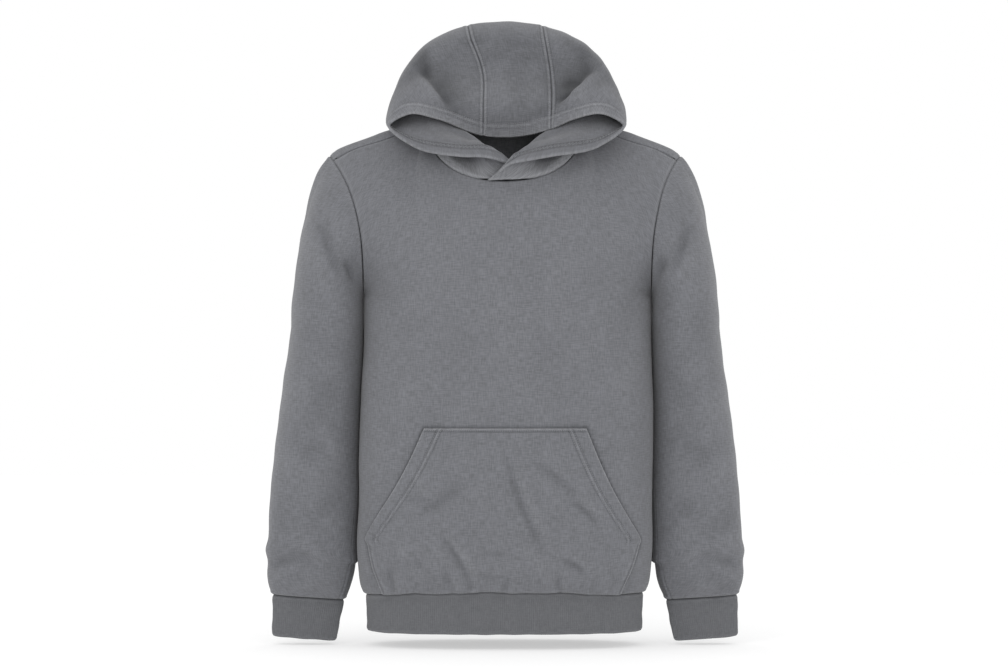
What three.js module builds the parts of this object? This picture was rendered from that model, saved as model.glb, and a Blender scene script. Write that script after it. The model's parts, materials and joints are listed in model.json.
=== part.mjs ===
// A pullover hoodie, hollow and filled out as if worn, with its hood up but empty.
// Units are millimetres, +Z is up, the garment's front faces -Y and its left side, as the viewer
// sees it, lies at -X. The origin is at the neck, midway between the shoulders.
// Every cut piece is a wall of one cloth thickness. Each wall is a grid of points on the outer
// face, a second grid moved in along the surface normal, and strips that close the edges.
import * as THREE from "three";

// Driving dimensions
const CLOTH = 2.0; // brushed fleece, one layer
const DOUBLE_RIB = 2.8; // cuffs and hem band are folded double
const SEAM = 0.3; // gap kept between pieces that are sewn together
const NECK_SEAT = 1.2; // the same gap at the neck, where the walls meet at an angle
const ARM_SEAT = 1.1; // and at the armholes
const CHEST_Z = -222; // height of the underarm points
const HEM_SEAM_Z = -626.5;
const HEM_END_Z = -684.5;
const CUFF_SEAM_Z = -640;
const CUFF_END_Z = -697;
const SIDE_POWER = 2.6; // body sections: 2 is an ellipse, higher is boxier
const SLEEVE_POWER = 2.2;
const SLEEVE_CLEAR = 1.5; // the sleeve hangs this far off the side of the body
const POCKET_GAPE = 1.2; // the slanted hand openings stand off the front by this much more
const POCKET_LIFT = { centre: 0.6, sides: 1.0 }; // the pocket's own slack over the front

// Body sections below the underarm: half widths to the two sides, depth to the front and back
const BODY = [
  { z: -626.5, left: 195, right: 193.5, front: 103, back: 97 },
  { z: -616, left: 201.5, right: 200, front: 109, back: 102 },
  { z: -592, left: 205, right: 204, front: 115, back: 106 },
  { z: -560, left: 207, right: 206, front: 118, back: 108 },
  { z: -504, left: 204, right: 205.5, front: 119, back: 109 },
  { z: -434, left: 204, right: 207, front: 120, back: 111 },
  { z: -364, left: 201.5, right: 207, front: 121, back: 113 },
  { z: -294, left: 197.5, right: 204.5, front: 122, back: 115 },
  { z: CHEST_Z, left: 197, right: 203.5, front: 122, back: 116 },
];

// Armhole seam, from the shoulder tip down to the underarm: x on each side, y in front and behind
const ARMHOLE = [
  { z: -22, left: 244.5, right: 244.5, front: -4, back: -4 },
  { z: -29, left: 239, right: 239, front: -20, back: 13 },
  { z: -46, left: 228, right: 229, front: -40, back: 35 },
  { z: -72, left: 215, right: 218, front: -59, back: 58 },
  { z: -100, left: 206, right: 211, front: -69, back: 71 },
  { z: -136, left: 199, right: 205, front: -70, back: 74 },
  { z: -172, left: 196.5, right: 203, front: -57, back: 61 },
  { z: -203, left: 196.5, right: 203, front: -33, back: 36 },
  { z: CHEST_Z, left: 197, right: 203.5, front: 0, back: 0 },
];

// Neck seam on the +X side from centre front over the shoulder to centre back
const NECKLINE = [
  { x: 0, y: -97, z: -62 },
  { x: 36, y: -95, z: -58.5 },
  { x: 62, y: -88.5, z: -50 },
  { x: 84, y: -77, z: -36 },
  { x: 98, y: -60, z: -18 },
  { x: 104, y: -38, z: 6 },
  { x: 103, y: -18, z: 24 },
  { x: 98, y: 12, z: 30 },
  { x: 82, y: 48, z: 27 },
  { x: 48, y: 70, z: 21 },
  { x: 0, y: 77, z: 18 },
];
const NECK_SHOULDER = 6; // index of the point where the shoulder seam meets the neck

// Shoulder seam from the neck to the armhole, ahead of the shoulder's ridge
const SHOULDER = [
  { x: 103, y: -18, z: 24 },
  { x: 168, y: -26, z: -1 },
  { x: 216, y: -24, z: -16.5 },
  { x: 239, y: -20, z: -29 },
];

// Sleeve sections from the upper arm to the cuff seam: outer edge, inner edge (0 follows the body),
// centre in y and half depth; the lowest rows hold the crumple above the cuff
const SLEEVE = [
  { z: -262, outer: 300, inner: 0, centre: 8, depth: 84 },
  { z: -300, outer: 305, inner: 0, centre: 10, depth: 80 },
  { z: -364, outer: 314, inner: 0, centre: 13, depth: 72 },
  { z: -434, outer: 323, inner: 0, centre: 14, depth: 63 },
  { z: -504, outer: 329.5, inner: 0, centre: 12, depth: 54 },
  { z: -556, outer: 332, inner: 0, centre: 10, depth: 47 },
  { z: -574, outer: 335.5, inner: 0, centre: 9, depth: 48 },
  { z: -590, outer: 333, inner: 209.5, centre: 8, depth: 43 },
  { z: -610, outer: 334, inner: 213, centre: 7, depth: 41 },
  { z: -626, outer: 331.5, inner: 218, centre: 6, depth: 33 },
  { z: CUFF_SEAM_Z, outer: 326, inner: 225, centre: 5, depth: 20 },
];
const CUFF_TILT = 3.5; // the cuff seam rises by this much on the outer side
const CUFF = [
  { z: CUFF_SEAM_Z, outer: 325.5, inner: 225.5, centre: 5, depth: 19.5 },
  { z: -655, outer: 325.5, inner: 228.5, centre: 5, depth: 18.5 },
  { z: CUFF_END_Z, outer: 326, inner: 237, centre: 5, depth: 16.5 },
];
const HEM = [
  { z: HEM_SEAM_Z - SEAM, left: 194.5, right: 193, front: 102.5, back: 96.5 },
  { z: -645, left: 193, right: 192, front: 98, back: 93 },
  { z: HEM_END_Z, left: 193, right: 191.5, front: 96, back: 92 },
];

// Kangaroo pocket: half widths at each height; the rows to the corner are the hand openings
const POCKET = [
  { z: -401, left: 110, right: 110.5, open: 1 },
  { z: -446, left: 130, right: 128.5, open: 1 },
  { z: -485, left: 150.5, right: 146, open: 1 },
  { z: -520, left: 172, right: 165, open: 1 },
  { z: -553, left: 191, right: 184, open: 0 },
  { z: -562, left: 188.5, right: 183.5, open: 0 },
  { z: -594, left: 181, right: 173, open: 0 },
  { z: -622, left: 168.5, right: 159.5, open: 0 },
];

// Hood: one row for each ring from the mouth hem to the neck seam, one column for each line that
// runs from the mouth to the neck. The +X half and the seam columns are given as [x, y, z].
const HOOD_RINGS = [
  {
    ring: "hem", crown: [63.5, -52, 13], brow: [96, -64, 26], temple: [135, -76, 33],
    lobe: [165, -72, 18], jaw: [130, -92, -14], lip: [64, -114, -29], chin: [34, -119, -34.5],
    end: [7, -120, -39],
  },
  {
    ring: "roll", crown: [64, -56, 46], brow: [106, -70, 58], temple: [150, -60, 52],
    lobe: [169, -46, 22], jaw: [136, -72, 6], lip: [62, -96, -10], chin: [31, -107, -24],
    end: [-3, -116, -46],
  },
  {
    ring: "face", crown: [62, -20, 100], brow: [114, -40, 96], temple: [155, -36, 68],
    lobe: [168, -26, 29], jaw: [131, -50, 26], lip: [60, -70, -3], chin: [30, -97, -15],
    end: [-9, -112, -50],
  },
  {
    ring: "brim", crown: [56, -26, 137], brow: [112, -28, 124], temple: [153, -22, 79],
    lobe: [165, -14, 35], jaw: [126, -36, 39], lip: [61, -42, 8.5], chin: [30, -94, -16],
    end: [-11, -110, -52],
  },
  {
    ring: "rim", crown: [53, 4, 159], brow: [104, 4, 141], temple: [149, -4, 88],
    lobe: [158, -2, 39], jaw: [121, -29, 42], lip: [62, -38, 5], chin: [30, -94, -25],
    end: [-13, -108, -54],
  },
  {
    ring: "back", crown: [52, 78, 138], brow: [98, 58, 122], temple: [140, 30, 84],
    lobe: [144, 4, 47], jaw: [116, -30, 38], lip: [61, -55, -12], chin: [32, -94.5, -41],
    end: [-16, -105, -57],
  },
  {
    ring: "nape", crown: [50, 120, 76], brow: [88, 94, 72], temple: [121, 42, 64],
    lobe: [124, 0, 48], jaw: [112, -39, 30], lip: [61, -78, -32], chin: [35, -96.5, -50],
    end: [-19, -103, -59],
  },
  {
    ring: "sag", crown: [48, 98, 38], brow: [82, 68, 42], temple: [104, 26, 47],
    lobe: [107, -12, 43], jaw: [106, -43, 22], lip: [61.5, -88, -44], chin: [36, -97, -55],
    end: [-21, -102, -60.5],
  },
];
const HOOD_TOP = [
  [14, -45, 2.5], [15, -54, 42], [12, -16, 102], [2, -25, 144],
  [0, 6, 165], [0, 84, 144], [0, 128, 78], [0, 102, 36],
];
const HOOD_LEFT_CROWN = [
  [-30.5, -47, 4], [-30, -54, 42], [-33, -18, 102], [-47, -26, 139],
  [-52, 4, 160], [-52, 78, 138], [-50, 120, 76], [-48, 98, 38],
];
// Where each hood line meets the neck seam, as a row of NECKLINE
const HOOD_FOOT = { crown: 9, brow: 8, temple: 7, lobe: 6, jaw: 5, lip: 2, chin: 1 };
const RIGHT_END_FOOT = [-22, -102, -61]; // the right front crosses over the left one
const LEFT_HALF = 0.975; // the left half of the hood is this much narrower
const LEFT_CHIN = [
  [-22, -113, -31], [-20, -98, -18], [-21, -92, -23], [-23, -91, -29],
  [-26, -91.5, -34], [-29, -92, -42], [-33, -93.5, -50], [-36, -95.5, -55],
];
const LEFT_END = [
  [20, -92, -44], [19, -90.5, -48], [19, -90, -50], [19, -89.5, -51.5],
  [19, -89, -53], [19, -88.5, -55], [19, -88, -56.5], [19, -88, -58], [19, -87.5, -59],
];

// Grid sizes: steps across and along each piece
const STEPS = {
  body: { shoulder: 6, low: 8, high: 12 },
  sleeve: { round: 24, cap: 6, low: 12 }, // round is twice body.high, so the armhole points match
  rib: { round: 40 },
  hood: { along: 18 },
};
// Steps between neighbouring hood lines, from the crown seam to the front end
const HOOD_CELLS = [3, 3, 3, 3, 3, 2, 2];

// Curves and grids
const lerp = (a, b, t) => a + (b - a) * t;
const vec = (p) => new THREE.Vector3(...(Array.isArray(p) ? p : [p.x, p.y, p.z]));
const smooth = (a, b, x) => THREE.MathUtils.smoothstep(x, a, b);
const count = (n, make) => Array.from({ length: n }, (_, i) => make(i));
const sum = (...terms) => terms.reduce((total, v) => total.add(v), vec([0, 0, 0]));

function hermite(from, leaving, to, arriving, t) {
  const rise = t * t * (3 - 2 * t);
  return from.clone().multiplyScalar(1 - rise)
    .addScaledVector(to, rise)
    .addScaledVector(leaving, t * (1 - t) * (1 - t))
    .addScaledVector(arriving, -t * t * (1 - t));
}

// A smooth curve through points; f counts spans, and tangents follow the chord lengths
function curveAt(points, f) {
  const last = points.length - 1;
  const i = Math.min(Math.max(Math.floor(f), 0), last - 1);
  const step = (k) => points[k + 1].clone().sub(points[k]);
  const span = step(i).length();
  const tangent = (k) => {
    if (k === 0 || k === last) return step(Math.min(k, last - 1));
    const before = step(k - 1);
    const after = step(k);
    const [a, b] = [before.length(), after.length()];
    return sum(before.multiplyScalar(b / a), after.multiplyScalar(a / b))
      .multiplyScalar(span / (a + b));
  };
  return hermite(points[i], tangent(i), points[i + 1], tangent(i + 1), f - i);
}

// A row of a table at height z, each named column blended smoothly between its neighbours
function rowAt(table, z) {
  const rows = table[0].z < table[table.length - 1].z ? table : [...table].reverse();
  const last = rows.length - 1;
  let i = 0;
  while (i < last - 1 && z > rows[i + 1].z) i += 1;
  const span = rows[i + 1].z - rows[i].z;
  const t = THREE.MathUtils.clamp((z - rows[i].z) / span, 0, 1);
  const slope = (k, key) => {
    const a = rows[Math.max(k - 1, 0)];
    const b = rows[Math.min(k + 1, last)];
    return (b[key] - a[key]) / (b.z - a.z);
  };
  const rise = t * t * (3 - 2 * t);
  const out = {};
  for (const key of Object.keys(rows[0])) {
    out[key] = lerp(rows[i][key], rows[i + 1][key], rise)
      + span * slope(i, key) * t * (1 - t) * (1 - t)
      - span * slope(i + 1, key) * t * t * (1 - t);
  }
  return out;
}

const boxy = (v, power) => Math.sign(v) * Math.abs(v) ** (2 / power);

// The outward normal of a surface, by small steps kept inside the piece's own span
function normalAt(surface, u, v, [uLow, uHigh], [vLow, vHigh]) {
  const step = 1e-3;
  const [ua, ub] = [Math.max(u - step, uLow), Math.min(u + step, uHigh)];
  const [va, vb] = [Math.max(v - step, vLow), Math.min(v + step, vHigh)];
  const across = surface(ub, v).sub(surface(ua, v));
  const along = surface(u, vb).sub(surface(u, va));
  return across.cross(along).normalize();
}

// A closed wall: outer points from surface(u, v), inner ones moved in by the thickness.
// A ring joins its last column to its first. Turned surfaces run the other way round.
function wall(surface, us, vs, { thickness = CLOTH, ring = false, turned = false, pin = null }) {
  const wide = us.length;
  const spanU = ring ? [-Infinity, Infinity] : [Math.min(...us), Math.max(...us)];
  const spanV = [Math.min(...vs), Math.max(...vs)];
  const outer = vs.flatMap((v) => us.map((u) => (pin && pin(u, v)) || surface(u, v)));
  const inner = vs.flatMap((v, j) => us.map((u, i) => {
    const normal = normalAt(surface, u, v, spanU, spanV);
    return outer[j * wide + i].clone().addScaledVector(normal, turned ? thickness : -thickness);
  }));
  const inside = outer.length;
  const faces = [];
  const quad = (a, b, c, d) => faces.push(...(turned ? [a, c, b, a, d, c] : [a, b, c, a, c, d]));
  const cells = ring ? wide : wide - 1;
  const top = (vs.length - 1) * wide;
  for (let i = 0; i < cells; i += 1) {
    const next = (i + 1) % wide;
    for (let j = 0; j < vs.length - 1; j += 1) {
      const [a, b] = [j * wide + i, j * wide + next];
      quad(a, b, b + wide, a + wide);
      quad(inside + a, inside + a + wide, inside + b + wide, inside + b);
    }
    quad(inside + i, inside + next, next, i);
    quad(top + i, top + next, inside + top + next, inside + top + i);
  }
  for (let a = 0; a < top && !ring; a += wide) {
    const b = a + wide - 1;
    quad(a, a + wide, inside + a + wide, inside + a);
    quad(inside + b, inside + b + wide, b + wide, b);
  }
  const geometry = new THREE.BufferGeometry();
  const flat = [...outer, ...inner].flatMap((p) => [p.x, p.y, p.z]);
  geometry.setAttribute("position", new THREE.Float32BufferAttribute(flat, 3));
  geometry.setIndex(faces);
  return geometry;
}

// Body panels. A body line is named by its turn: 0 at the side seam, 1 at the centre.
const width = (row, side) => (side > 0 ? row.right : row.left);
const armholePoint = (side, face, row) => vec([side * width(row, side), row[face], row.z]);
const SHOULDER_SEAM_END = ARMHOLE[1]; // the tip itself is the row above
// The back goes on over the shoulder tip to the shoulder seam, where the front ends
function armholeLine(side, face) {
  const rows = [...ARMHOLE].reverse();
  const seamEnd = armholePoint(side, "front", SHOULDER_SEAM_END);
  if (face === "back") return [...rows.map((row) => armholePoint(side, face, row)), seamEnd];
  return rows.slice(0, -1).map((row) => armholePoint(side, face, row));
}
const neckCurve = NECKLINE.map(vec);
const neckCorner = (side, k) => vec([side * NECKLINE[k].x, NECKLINE[k].y, NECKLINE[k].z]);
const shoulderPoint = (side, share) => {
  const p = curveAt(SHOULDER.map(vec), share * (SHOULDER.length - 1));
  return vec([side * p.x, p.y, p.z]);
};

function bodyPoint(side, face, turn, z, table = BODY) {
  const row = rowAt(table, z);
  const angle = (turn * Math.PI) / 2;
  const depth = face === "front" ? -row.front : row.back;
  return vec([side * width(row, side) * boxy(Math.cos(angle), SIDE_POWER),
    depth * boxy(Math.sin(angle), SIDE_POWER), z]);
}

const NECK_TURN = 0.64; // lines beyond this turn run up to the neck, the rest to the shoulder
const ARMHOLE_CUT = 0.3; // share of each half that the armhole takes away at its deepest
const RISE = { front: 165, back: 250, side: 265 }; // pull of the lines upward from the chest
// Pull of the lines into the top seam: centre to shoulder along the neck, then out to the tip
const LEAN = {
  front: {
    neck: [[0, 70, 140], [-40, 60, 130], [-95, 80, 100], [-90, 140, 110]],
    shoulder: [[-90, 140, 110], [-20, 160, 170], [0, 160, 180], [0, 150, 170]],
  },
  back: {
    neck: [[0, -60, 150], [-50, -90, 90], [-110, -150, 25], [-90, -160, -50]],
    shoulder: [[-90, -160, -50], [-20, -150, -240], [0, -140, -250], [0, -110, -150]],
  },
};
const TOP_TRIM = { seam: 0.0018, tip: 0.006 }; // share of a line left as the gap at the top seam

// A point of the shoulders as if they had no armholes: each line rises from the chest and leans
// over to the shoulder or neck seam
function shoulderSkin(side, face, turn, t) {
  const neckSpans = face === "back" ? NECKLINE.length - 1 - NECK_SHOULDER : NECK_SHOULDER;
  const toNeck = turn > NECK_TURN;
  const share = toNeck ? (1 - turn) / (1 - NECK_TURN) : 1 - turn / NECK_TURN;
  const place = face === "back" ? NECKLINE.length - 1 - share * neckSpans : share * neckSpans;
  const neck = curveAt(neckCurve, place);
  const to = toNeck ? vec([side * neck.x, neck.y, neck.z]) : shoulderPoint(side, share);
  const arriving = curveAt(LEAN[face][toNeck ? "neck" : "shoulder"].map(vec), 3 * share);
  arriving.x *= side;
  const rise = vec([0, 0, lerp(RISE[face], RISE.side, toNeck ? share ** 3 : 1)]);
  return hermite(bodyPoint(side, face, turn, CHEST_Z), rise, to, arriving, t);
}

// The armhole cuts the side away: lines slide towards the centre beside it, and end on its seam
function yokePoint(side, face, turn, t) {
  const cut = ARMHOLE_CUT * Math.sin(Math.PI * Math.min(t, 1)) ** 0.8;
  const line = armholeLine(side, face);
  const miss = curveAt(line, t * (line.length - 1)).sub(shoulderSkin(side, face, cut, t));
  return shoulderSkin(side, face, lerp(cut, 1, turn), t)
    .addScaledVector(miss, 1 - smooth(0, 0.6, turn));
}

// Heights of the body's lines: 0 to 1 runs up to the chest, 1 to 2 from there to the top seams
function bodySurface(face) {
  const shift = face === "front" ? -SEAM / 2 : SEAM / 2;
  return (u, v) => {
    const [side, turn] = [u < 0 ? -1 : 1, 1 - Math.abs(u)];
    const trim = lerp(TOP_TRIM.tip, TOP_TRIM.seam, smooth(0, 0.3, turn));
    const p = v < 1
      ? bodyPoint(side, face, turn, lerp(HEM_SEAM_Z, CHEST_Z, v))
      : yokePoint(side, face, turn, Math.min(v - 1, 1 - trim));
    p.y += shift;
    return p;
  };
}

const yokeShare = (j) => 1 - (1 - j / STEPS.body.high) ** 1.25;

function bodyPanel(face) {
  const { shoulder, low, high } = STEPS.body;
  const neckSpans = face === "back" ? NECKLINE.length - 1 - NECK_SHOULDER : NECK_SHOULDER;
  const half = [
    ...count(neckSpans, (i) => (1 - NECK_TURN) * ((i + 1) / neckSpans)),
    ...count(shoulder, (i) => 1 - NECK_TURN * (1 - (i + 1) / shoulder)),
  ];
  const us = [...half.map((u) => -u).reverse(), 0, ...half];
  const vs = [...count(low, (j) => (j / low) ** 1.4), ...count(high + 1, (j) => 1 + yokeShare(j))];
  return wall(bodySurface(face), us, vs, { turned: face === "back" });
}

// Sleeves, cuffs and hem band
function ringPoint(row, side, angle) {
  const inner = row.inner || SLEEVE_CLEAR + width(rowAt(BODY, row.z), side);
  const half = (row.outer - inner) / 2;
  return vec([side * (inner + half * (1 + boxy(Math.cos(angle), SLEEVE_POWER))),
    row.centre - row.depth * boxy(Math.sin(angle), SLEEVE_POWER), row.z]);
}

// How the sleeve leaves the armhole: far outward over the shoulder, less so under the arm
function capLeaving(side, angle) {
  const up = ((1 + Math.cos(angle)) / 2) ** 2;
  const down = (1 - Math.cos(angle)) / 2;
  const front = Math.sin(angle);
  return vec([side * (12 + 100 * up + 49 * Math.abs(front)), -28 * front, -10 - 89 * up - 20 * down]);
}

// The inner edge follows the body down to the flank and then leaves it for the cuff
function sleeveRow(z) {
  const free = SLEEVE.filter((row) => row.inner);
  return { ...rowAt(SLEEVE, z), z, inner: z < free[0].z ? rowAt(free, z).inner : 0 };
}

// Sleeve surface: u is the way round from the shoulder forward, v is 0 to 1 over the cap
function sleeveSurface(side) {
  const lines = { front: armholeLine(side, "front"), back: armholeLine(side, "back") };
  return (u, v) => {
    const place = ((u % 1) + 1) % 1;
    const angle = 2 * Math.PI * place;
    if (v >= 1) {
      const z = lerp(SLEEVE[0].z, CUFF_SEAM_Z, v - 1);
      const p = ringPoint(sleeveRow(z), side, angle);
      p.z += CUFF_TILT * Math.cos(angle) * (1 - smooth(CUFF_SEAM_Z, -560, z));
      return p;
    }
    const line = lines[place <= 0.5 ? "front" : "back"];
    const down = place <= 0.5 ? 2 * place : 2 - 2 * place;
    const seam = curveAt(line, yokeShare((1 - down) * STEPS.body.high) * (line.length - 1));
    const leaving = capLeaving(side, angle);
    const from = seam.addScaledVector(leaving.clone().normalize(), ARM_SEAT);
    const to = ringPoint(sleeveRow(SLEEVE[0].z), side, angle);
    return hermite(from, leaving, to, vec([0, 0, -Math.max(30, (from.z - to.z) * 0.85)]), v);
  };
}

function sleeve(side) {
  const { round, cap, low } = STEPS.sleeve;
  const us = count(round, (i) => i / round);
  const vs = [...count(cap, (j) => j / cap), ...count(low + 1, (j) => 1 + (j / low) ** 0.8)];
  return wall(sleeveSurface(side), us, vs, { ring: true, turned: side < 0 });
}

function cuff(side) {
  const { round } = STEPS.sleeve;
  const surface = (u, v) => {
    const z = lerp(CUFF_SEAM_Z, CUFF_END_Z, v);
    const p = ringPoint({ ...rowAt(CUFF, z), z: z - SEAM }, side, 2 * Math.PI * u);
    p.z += CUFF_TILT * Math.cos(2 * Math.PI * u);
    return p;
  };
  const us = count(round, (i) => i / round);
  return wall(surface, us, [0, 0.26, 1],
    { thickness: DOUBLE_RIB, ring: true, turned: side < 0 });
}

function hemRib() {
  const { round } = STEPS.rib;
  const surface = (u, v) => {
    const quarter = 4 * (((u % 1) + 1) % 1); // quarter turns from +X by way of the front
    const face = quarter < 2 ? "front" : "back";
    const side = quarter <= 1 || quarter > 3 ? 1 : -1;
    const turn = quarter % 2 <= 1 ? quarter % 2 : 2 - (quarter % 2);
    return bodyPoint(side, face, turn, lerp(HEM[0].z, HEM_END_Z, v), HEM);
  };
  const us = count(round, (i) => i / round);
  return wall(surface, us, [0, 0.33, 1], { thickness: DOUBLE_RIB, ring: true });
}

// The pocket is laid on the front panel's own surface and moved out
function pocket() {
  const surface = (u, v) => {
    const row = rowAt(POCKET, v);
    const off = SEAM + CLOTH + lerp(POCKET_LIFT.centre, POCKET_LIFT.sides, Math.abs(u) ** 3)
      + POCKET_GAPE * row.open * smooth(0.6, 1, Math.abs(u));
    return frontSkin(u * width(row, u), v, off);
  };
  const half = count(7, (i) => 1 - (1 - (i + 1) / 7) ** 1.5);
  const us = [...half.map((u) => -u).reverse(), 0, ...half];
  const levels = [...POCKET.map((row) => row.z), -423, -466, -502, -537, -608];
  return wall(surface, us, levels.sort((a, b) => a - b), {});
}

// The front's outer face at a width and height, moved out by a distance along its normal
function frontSkin(x, z, out) {
  const face = (px, pz) => {
    const row = rowAt(BODY, pz);
    const share = Math.abs(px / width(row, px));
    return -row.front * (1 - share ** SIDE_POWER) ** (1 / SIDE_POWER) - SEAM / 2;
  };
  const step = 0.5;
  const slopeX = (face(x + step, z) - face(x - step, z)) / (2 * step);
  const slopeZ = (face(x, z + step) - face(x, z - step)) / (2 * step);
  const normal = vec([slopeX, -1, slopeZ]).normalize();
  return vec([x, face(x, z), z]).addScaledVector(normal, out);
}

// Hood: lines run from the mouth hem over the crown to the neck seam
const HOOD_LINES = ["crown", "brow", "temple", "lobe", "jaw", "lip", "chin", "end"];
const seated = (p) => vec([p.x, p.y, p.z + NECK_SEAT]);

function hoodLine(name, side) {
  const mirror = (p) => (side > 0 ? vec(p) : vec([-p[0] * LEFT_HALF, p[1], p[2]]));
  if (name === "end" && side < 0) return LEFT_END.map(vec);
  if (name === "end") return [...HOOD_RINGS.map((row) => vec(row.end)), vec(RIGHT_END_FOOT)];
  const foot = seated(neckCorner(side, HOOD_FOOT[name]));
  if (name === "crown" && side < 0) return [...HOOD_LEFT_CROWN.map(vec), foot];
  if (name === "chin" && side < 0) return [...LEFT_CHIN.map(vec), foot];
  return [...HOOD_RINGS.map((row) => mirror(row[name])), foot];
}

const hoodLines = [
  ...[...HOOD_LINES].reverse().map((name) => hoodLine(name, -1)),
  [...HOOD_TOP.map(vec), seated(neckCorner(1, NECKLINE.length - 1))],
  ...HOOD_LINES.map((name) => hoodLine(name, 1)),
];

// u counts lines to either side of the middle one, v counts rings from the mouth hem
function hoodSurface(u, v) {
  return curveAt(hoodLines.map((line) => curveAt(line, v)), u + HOOD_LINES.length);
}

// Along the neck seam the hood has the same corners as the body panels, and straight lines between
function hoodFoot(u, v) {
  if (v < HOOD_RINGS.length) return null;
  const feet = [NECKLINE.length - 1, ...HOOD_LINES.map((name) => HOOD_FOOT[name] ?? 0)];
  const side = u < 0 ? -1 : 1;
  const k = Math.min(Math.floor(Math.abs(u)), HOOD_LINES.length - 1);
  const place = lerp(feet[k], feet[k + 1], Math.abs(u) - k);
  const from = Math.max(1, Math.ceil(place));
  const a = seated(neckCorner(side, from));
  const ends = side > 0 ? vec(RIGHT_END_FOOT) : vec(LEFT_END[LEFT_END.length - 1]);
  const b = from === 1 ? ends : seated(neckCorner(side, from - 1));
  return a.lerp(b, from - place);
}

function hoodPanel(us) {
  const vs = count(STEPS.hood.along + 1, (j) => (j / STEPS.hood.along) * HOOD_RINGS.length);
  return wall(hoodSurface, us, vs, { pin: hoodFoot });
}

const HOOD_TRIM = 0.004; // share of a line step that leaves half the seam gap

function hoodSide(side) {
  const us = HOOD_CELLS.flatMap((cells, k) => count(cells, (i) => k + 1 + i / cells));
  us.push(HOOD_LINES.length);
  us[0] += HOOD_TRIM;
  return hoodPanel(side > 0 ? us : us.map((u) => -u).reverse());
}

function hoodCentre() {
  const edge = 1 - HOOD_TRIM;
  return hoodPanel([-edge, -2 / 3, -1 / 3, 0, 1 / 3, 2 / 3, edge]);
}

// Assembly
const FLEECE = { color: 0x7a7b7d, roughness: 0.95, metalness: 0 };
const RIB = { color: 0x6c6d70, roughness: 0.95, metalness: 0 };

const hoodie = new THREE.Group();
function addPiece(name, geometry, finish) {
  const mesh = new THREE.Mesh(geometry, new THREE.MeshStandardMaterial(finish));
  mesh.name = name;
  hoodie.add(mesh);
}

addPiece("front", bodyPanel("front"), FLEECE);
addPiece("back", bodyPanel("back"), FLEECE);
addPiece("pocket", pocket(), FLEECE);
addPiece("hem_rib", hemRib(), RIB);
for (const [word, side] of [["left", -1], ["right", 1]]) {
  addPiece("sleeve_" + word, sleeve(side), FLEECE);
  addPiece("cuff_" + word, cuff(side), RIB);
  addPiece("hood_side_" + word, hoodSide(side), FLEECE);
}
addPiece("hood_centre", hoodCentre(), FLEECE);

export default hoodie;
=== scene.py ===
"""A pullover hoodie in washed grey fleece, filled out and hollow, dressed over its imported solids.

Each cut piece of the garment is a thin closed shell on the form of its solid, with its creases,
seam rolls, hems and stitches. Tables and sizes are in millimetres, in the frame of the part: +Z is
up and the garment faces -Y. Meshes are written in metres.
"""

from __future__ import annotations

import json
import logging
import math
from collections.abc import Callable
from dataclasses import dataclass, field
from enum import Enum

import bpy
import numpy as np
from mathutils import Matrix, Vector

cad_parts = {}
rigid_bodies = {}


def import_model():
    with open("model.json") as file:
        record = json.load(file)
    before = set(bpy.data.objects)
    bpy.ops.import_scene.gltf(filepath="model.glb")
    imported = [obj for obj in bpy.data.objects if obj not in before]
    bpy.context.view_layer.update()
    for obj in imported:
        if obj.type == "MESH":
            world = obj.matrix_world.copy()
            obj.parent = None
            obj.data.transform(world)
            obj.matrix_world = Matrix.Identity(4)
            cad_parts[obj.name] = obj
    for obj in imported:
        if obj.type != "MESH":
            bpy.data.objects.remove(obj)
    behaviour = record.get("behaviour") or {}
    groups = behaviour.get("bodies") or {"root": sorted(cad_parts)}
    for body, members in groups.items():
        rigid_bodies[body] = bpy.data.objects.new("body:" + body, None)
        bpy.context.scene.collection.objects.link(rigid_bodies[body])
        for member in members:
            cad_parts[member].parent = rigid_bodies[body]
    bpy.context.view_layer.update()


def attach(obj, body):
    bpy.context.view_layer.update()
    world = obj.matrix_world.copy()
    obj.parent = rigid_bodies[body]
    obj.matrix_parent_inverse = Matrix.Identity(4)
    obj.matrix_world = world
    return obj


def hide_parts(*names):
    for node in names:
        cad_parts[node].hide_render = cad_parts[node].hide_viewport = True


log = logging.getLogger("hoodie")

MM = 0.001
Array = np.ndarray


class Face(Enum):
    """Which way a body panel looks."""

    FRONT = "front"
    BACK = "back"


class Side(Enum):
    """A side of the garment, by the sign of its x."""

    LEFT = -1
    RIGHT = 1


class Edge(Enum):
    """The four edges of a cloth grid: low and high in its rows, first and last in its columns."""

    LOW = "low"
    HIGH = "high"
    FIRST = "first"
    LAST = "last"


# Curves and tables


def smooth(low: float, high: float, x: Array) -> Array:
    """Rises smoothly from 0 at low to 1 at high.

    Args:
        low: Value of x where the result is 0.
        high: Value of x where the result is 1. It may be the smaller of the two.
        x: The values.

    Returns:
        The blend for each value.
    """
    t = np.clip((np.asarray(x, float) - low) / (high - low), 0.0, 1.0)
    return t * t * (3.0 - 2.0 * t)


def bell(x: Array, width: float) -> Array:
    """A soft bump of height 1 at x = 0."""
    return np.exp(-((np.asarray(x, float) / width) ** 2))


def hermite(start: Array, leaving: Array, end: Array, arriving: Array, t: Array) -> Array:
    """A curve between two points with a given pull at each.

    Args:
        start: Points where t is 0.
        leaving: Pull of the curve at the start.
        end: Points where t is 1.
        arriving: Pull of the curve at the end.
        t: How far along, with a last axis of 1.

    Returns:
        The points.
    """
    rise = t * t * (3 - 2 * t)
    return start * (1 - rise) + end * rise + leaving * t * (1 - t) ** 2 - arriving * t * t * (1 - t)


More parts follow.
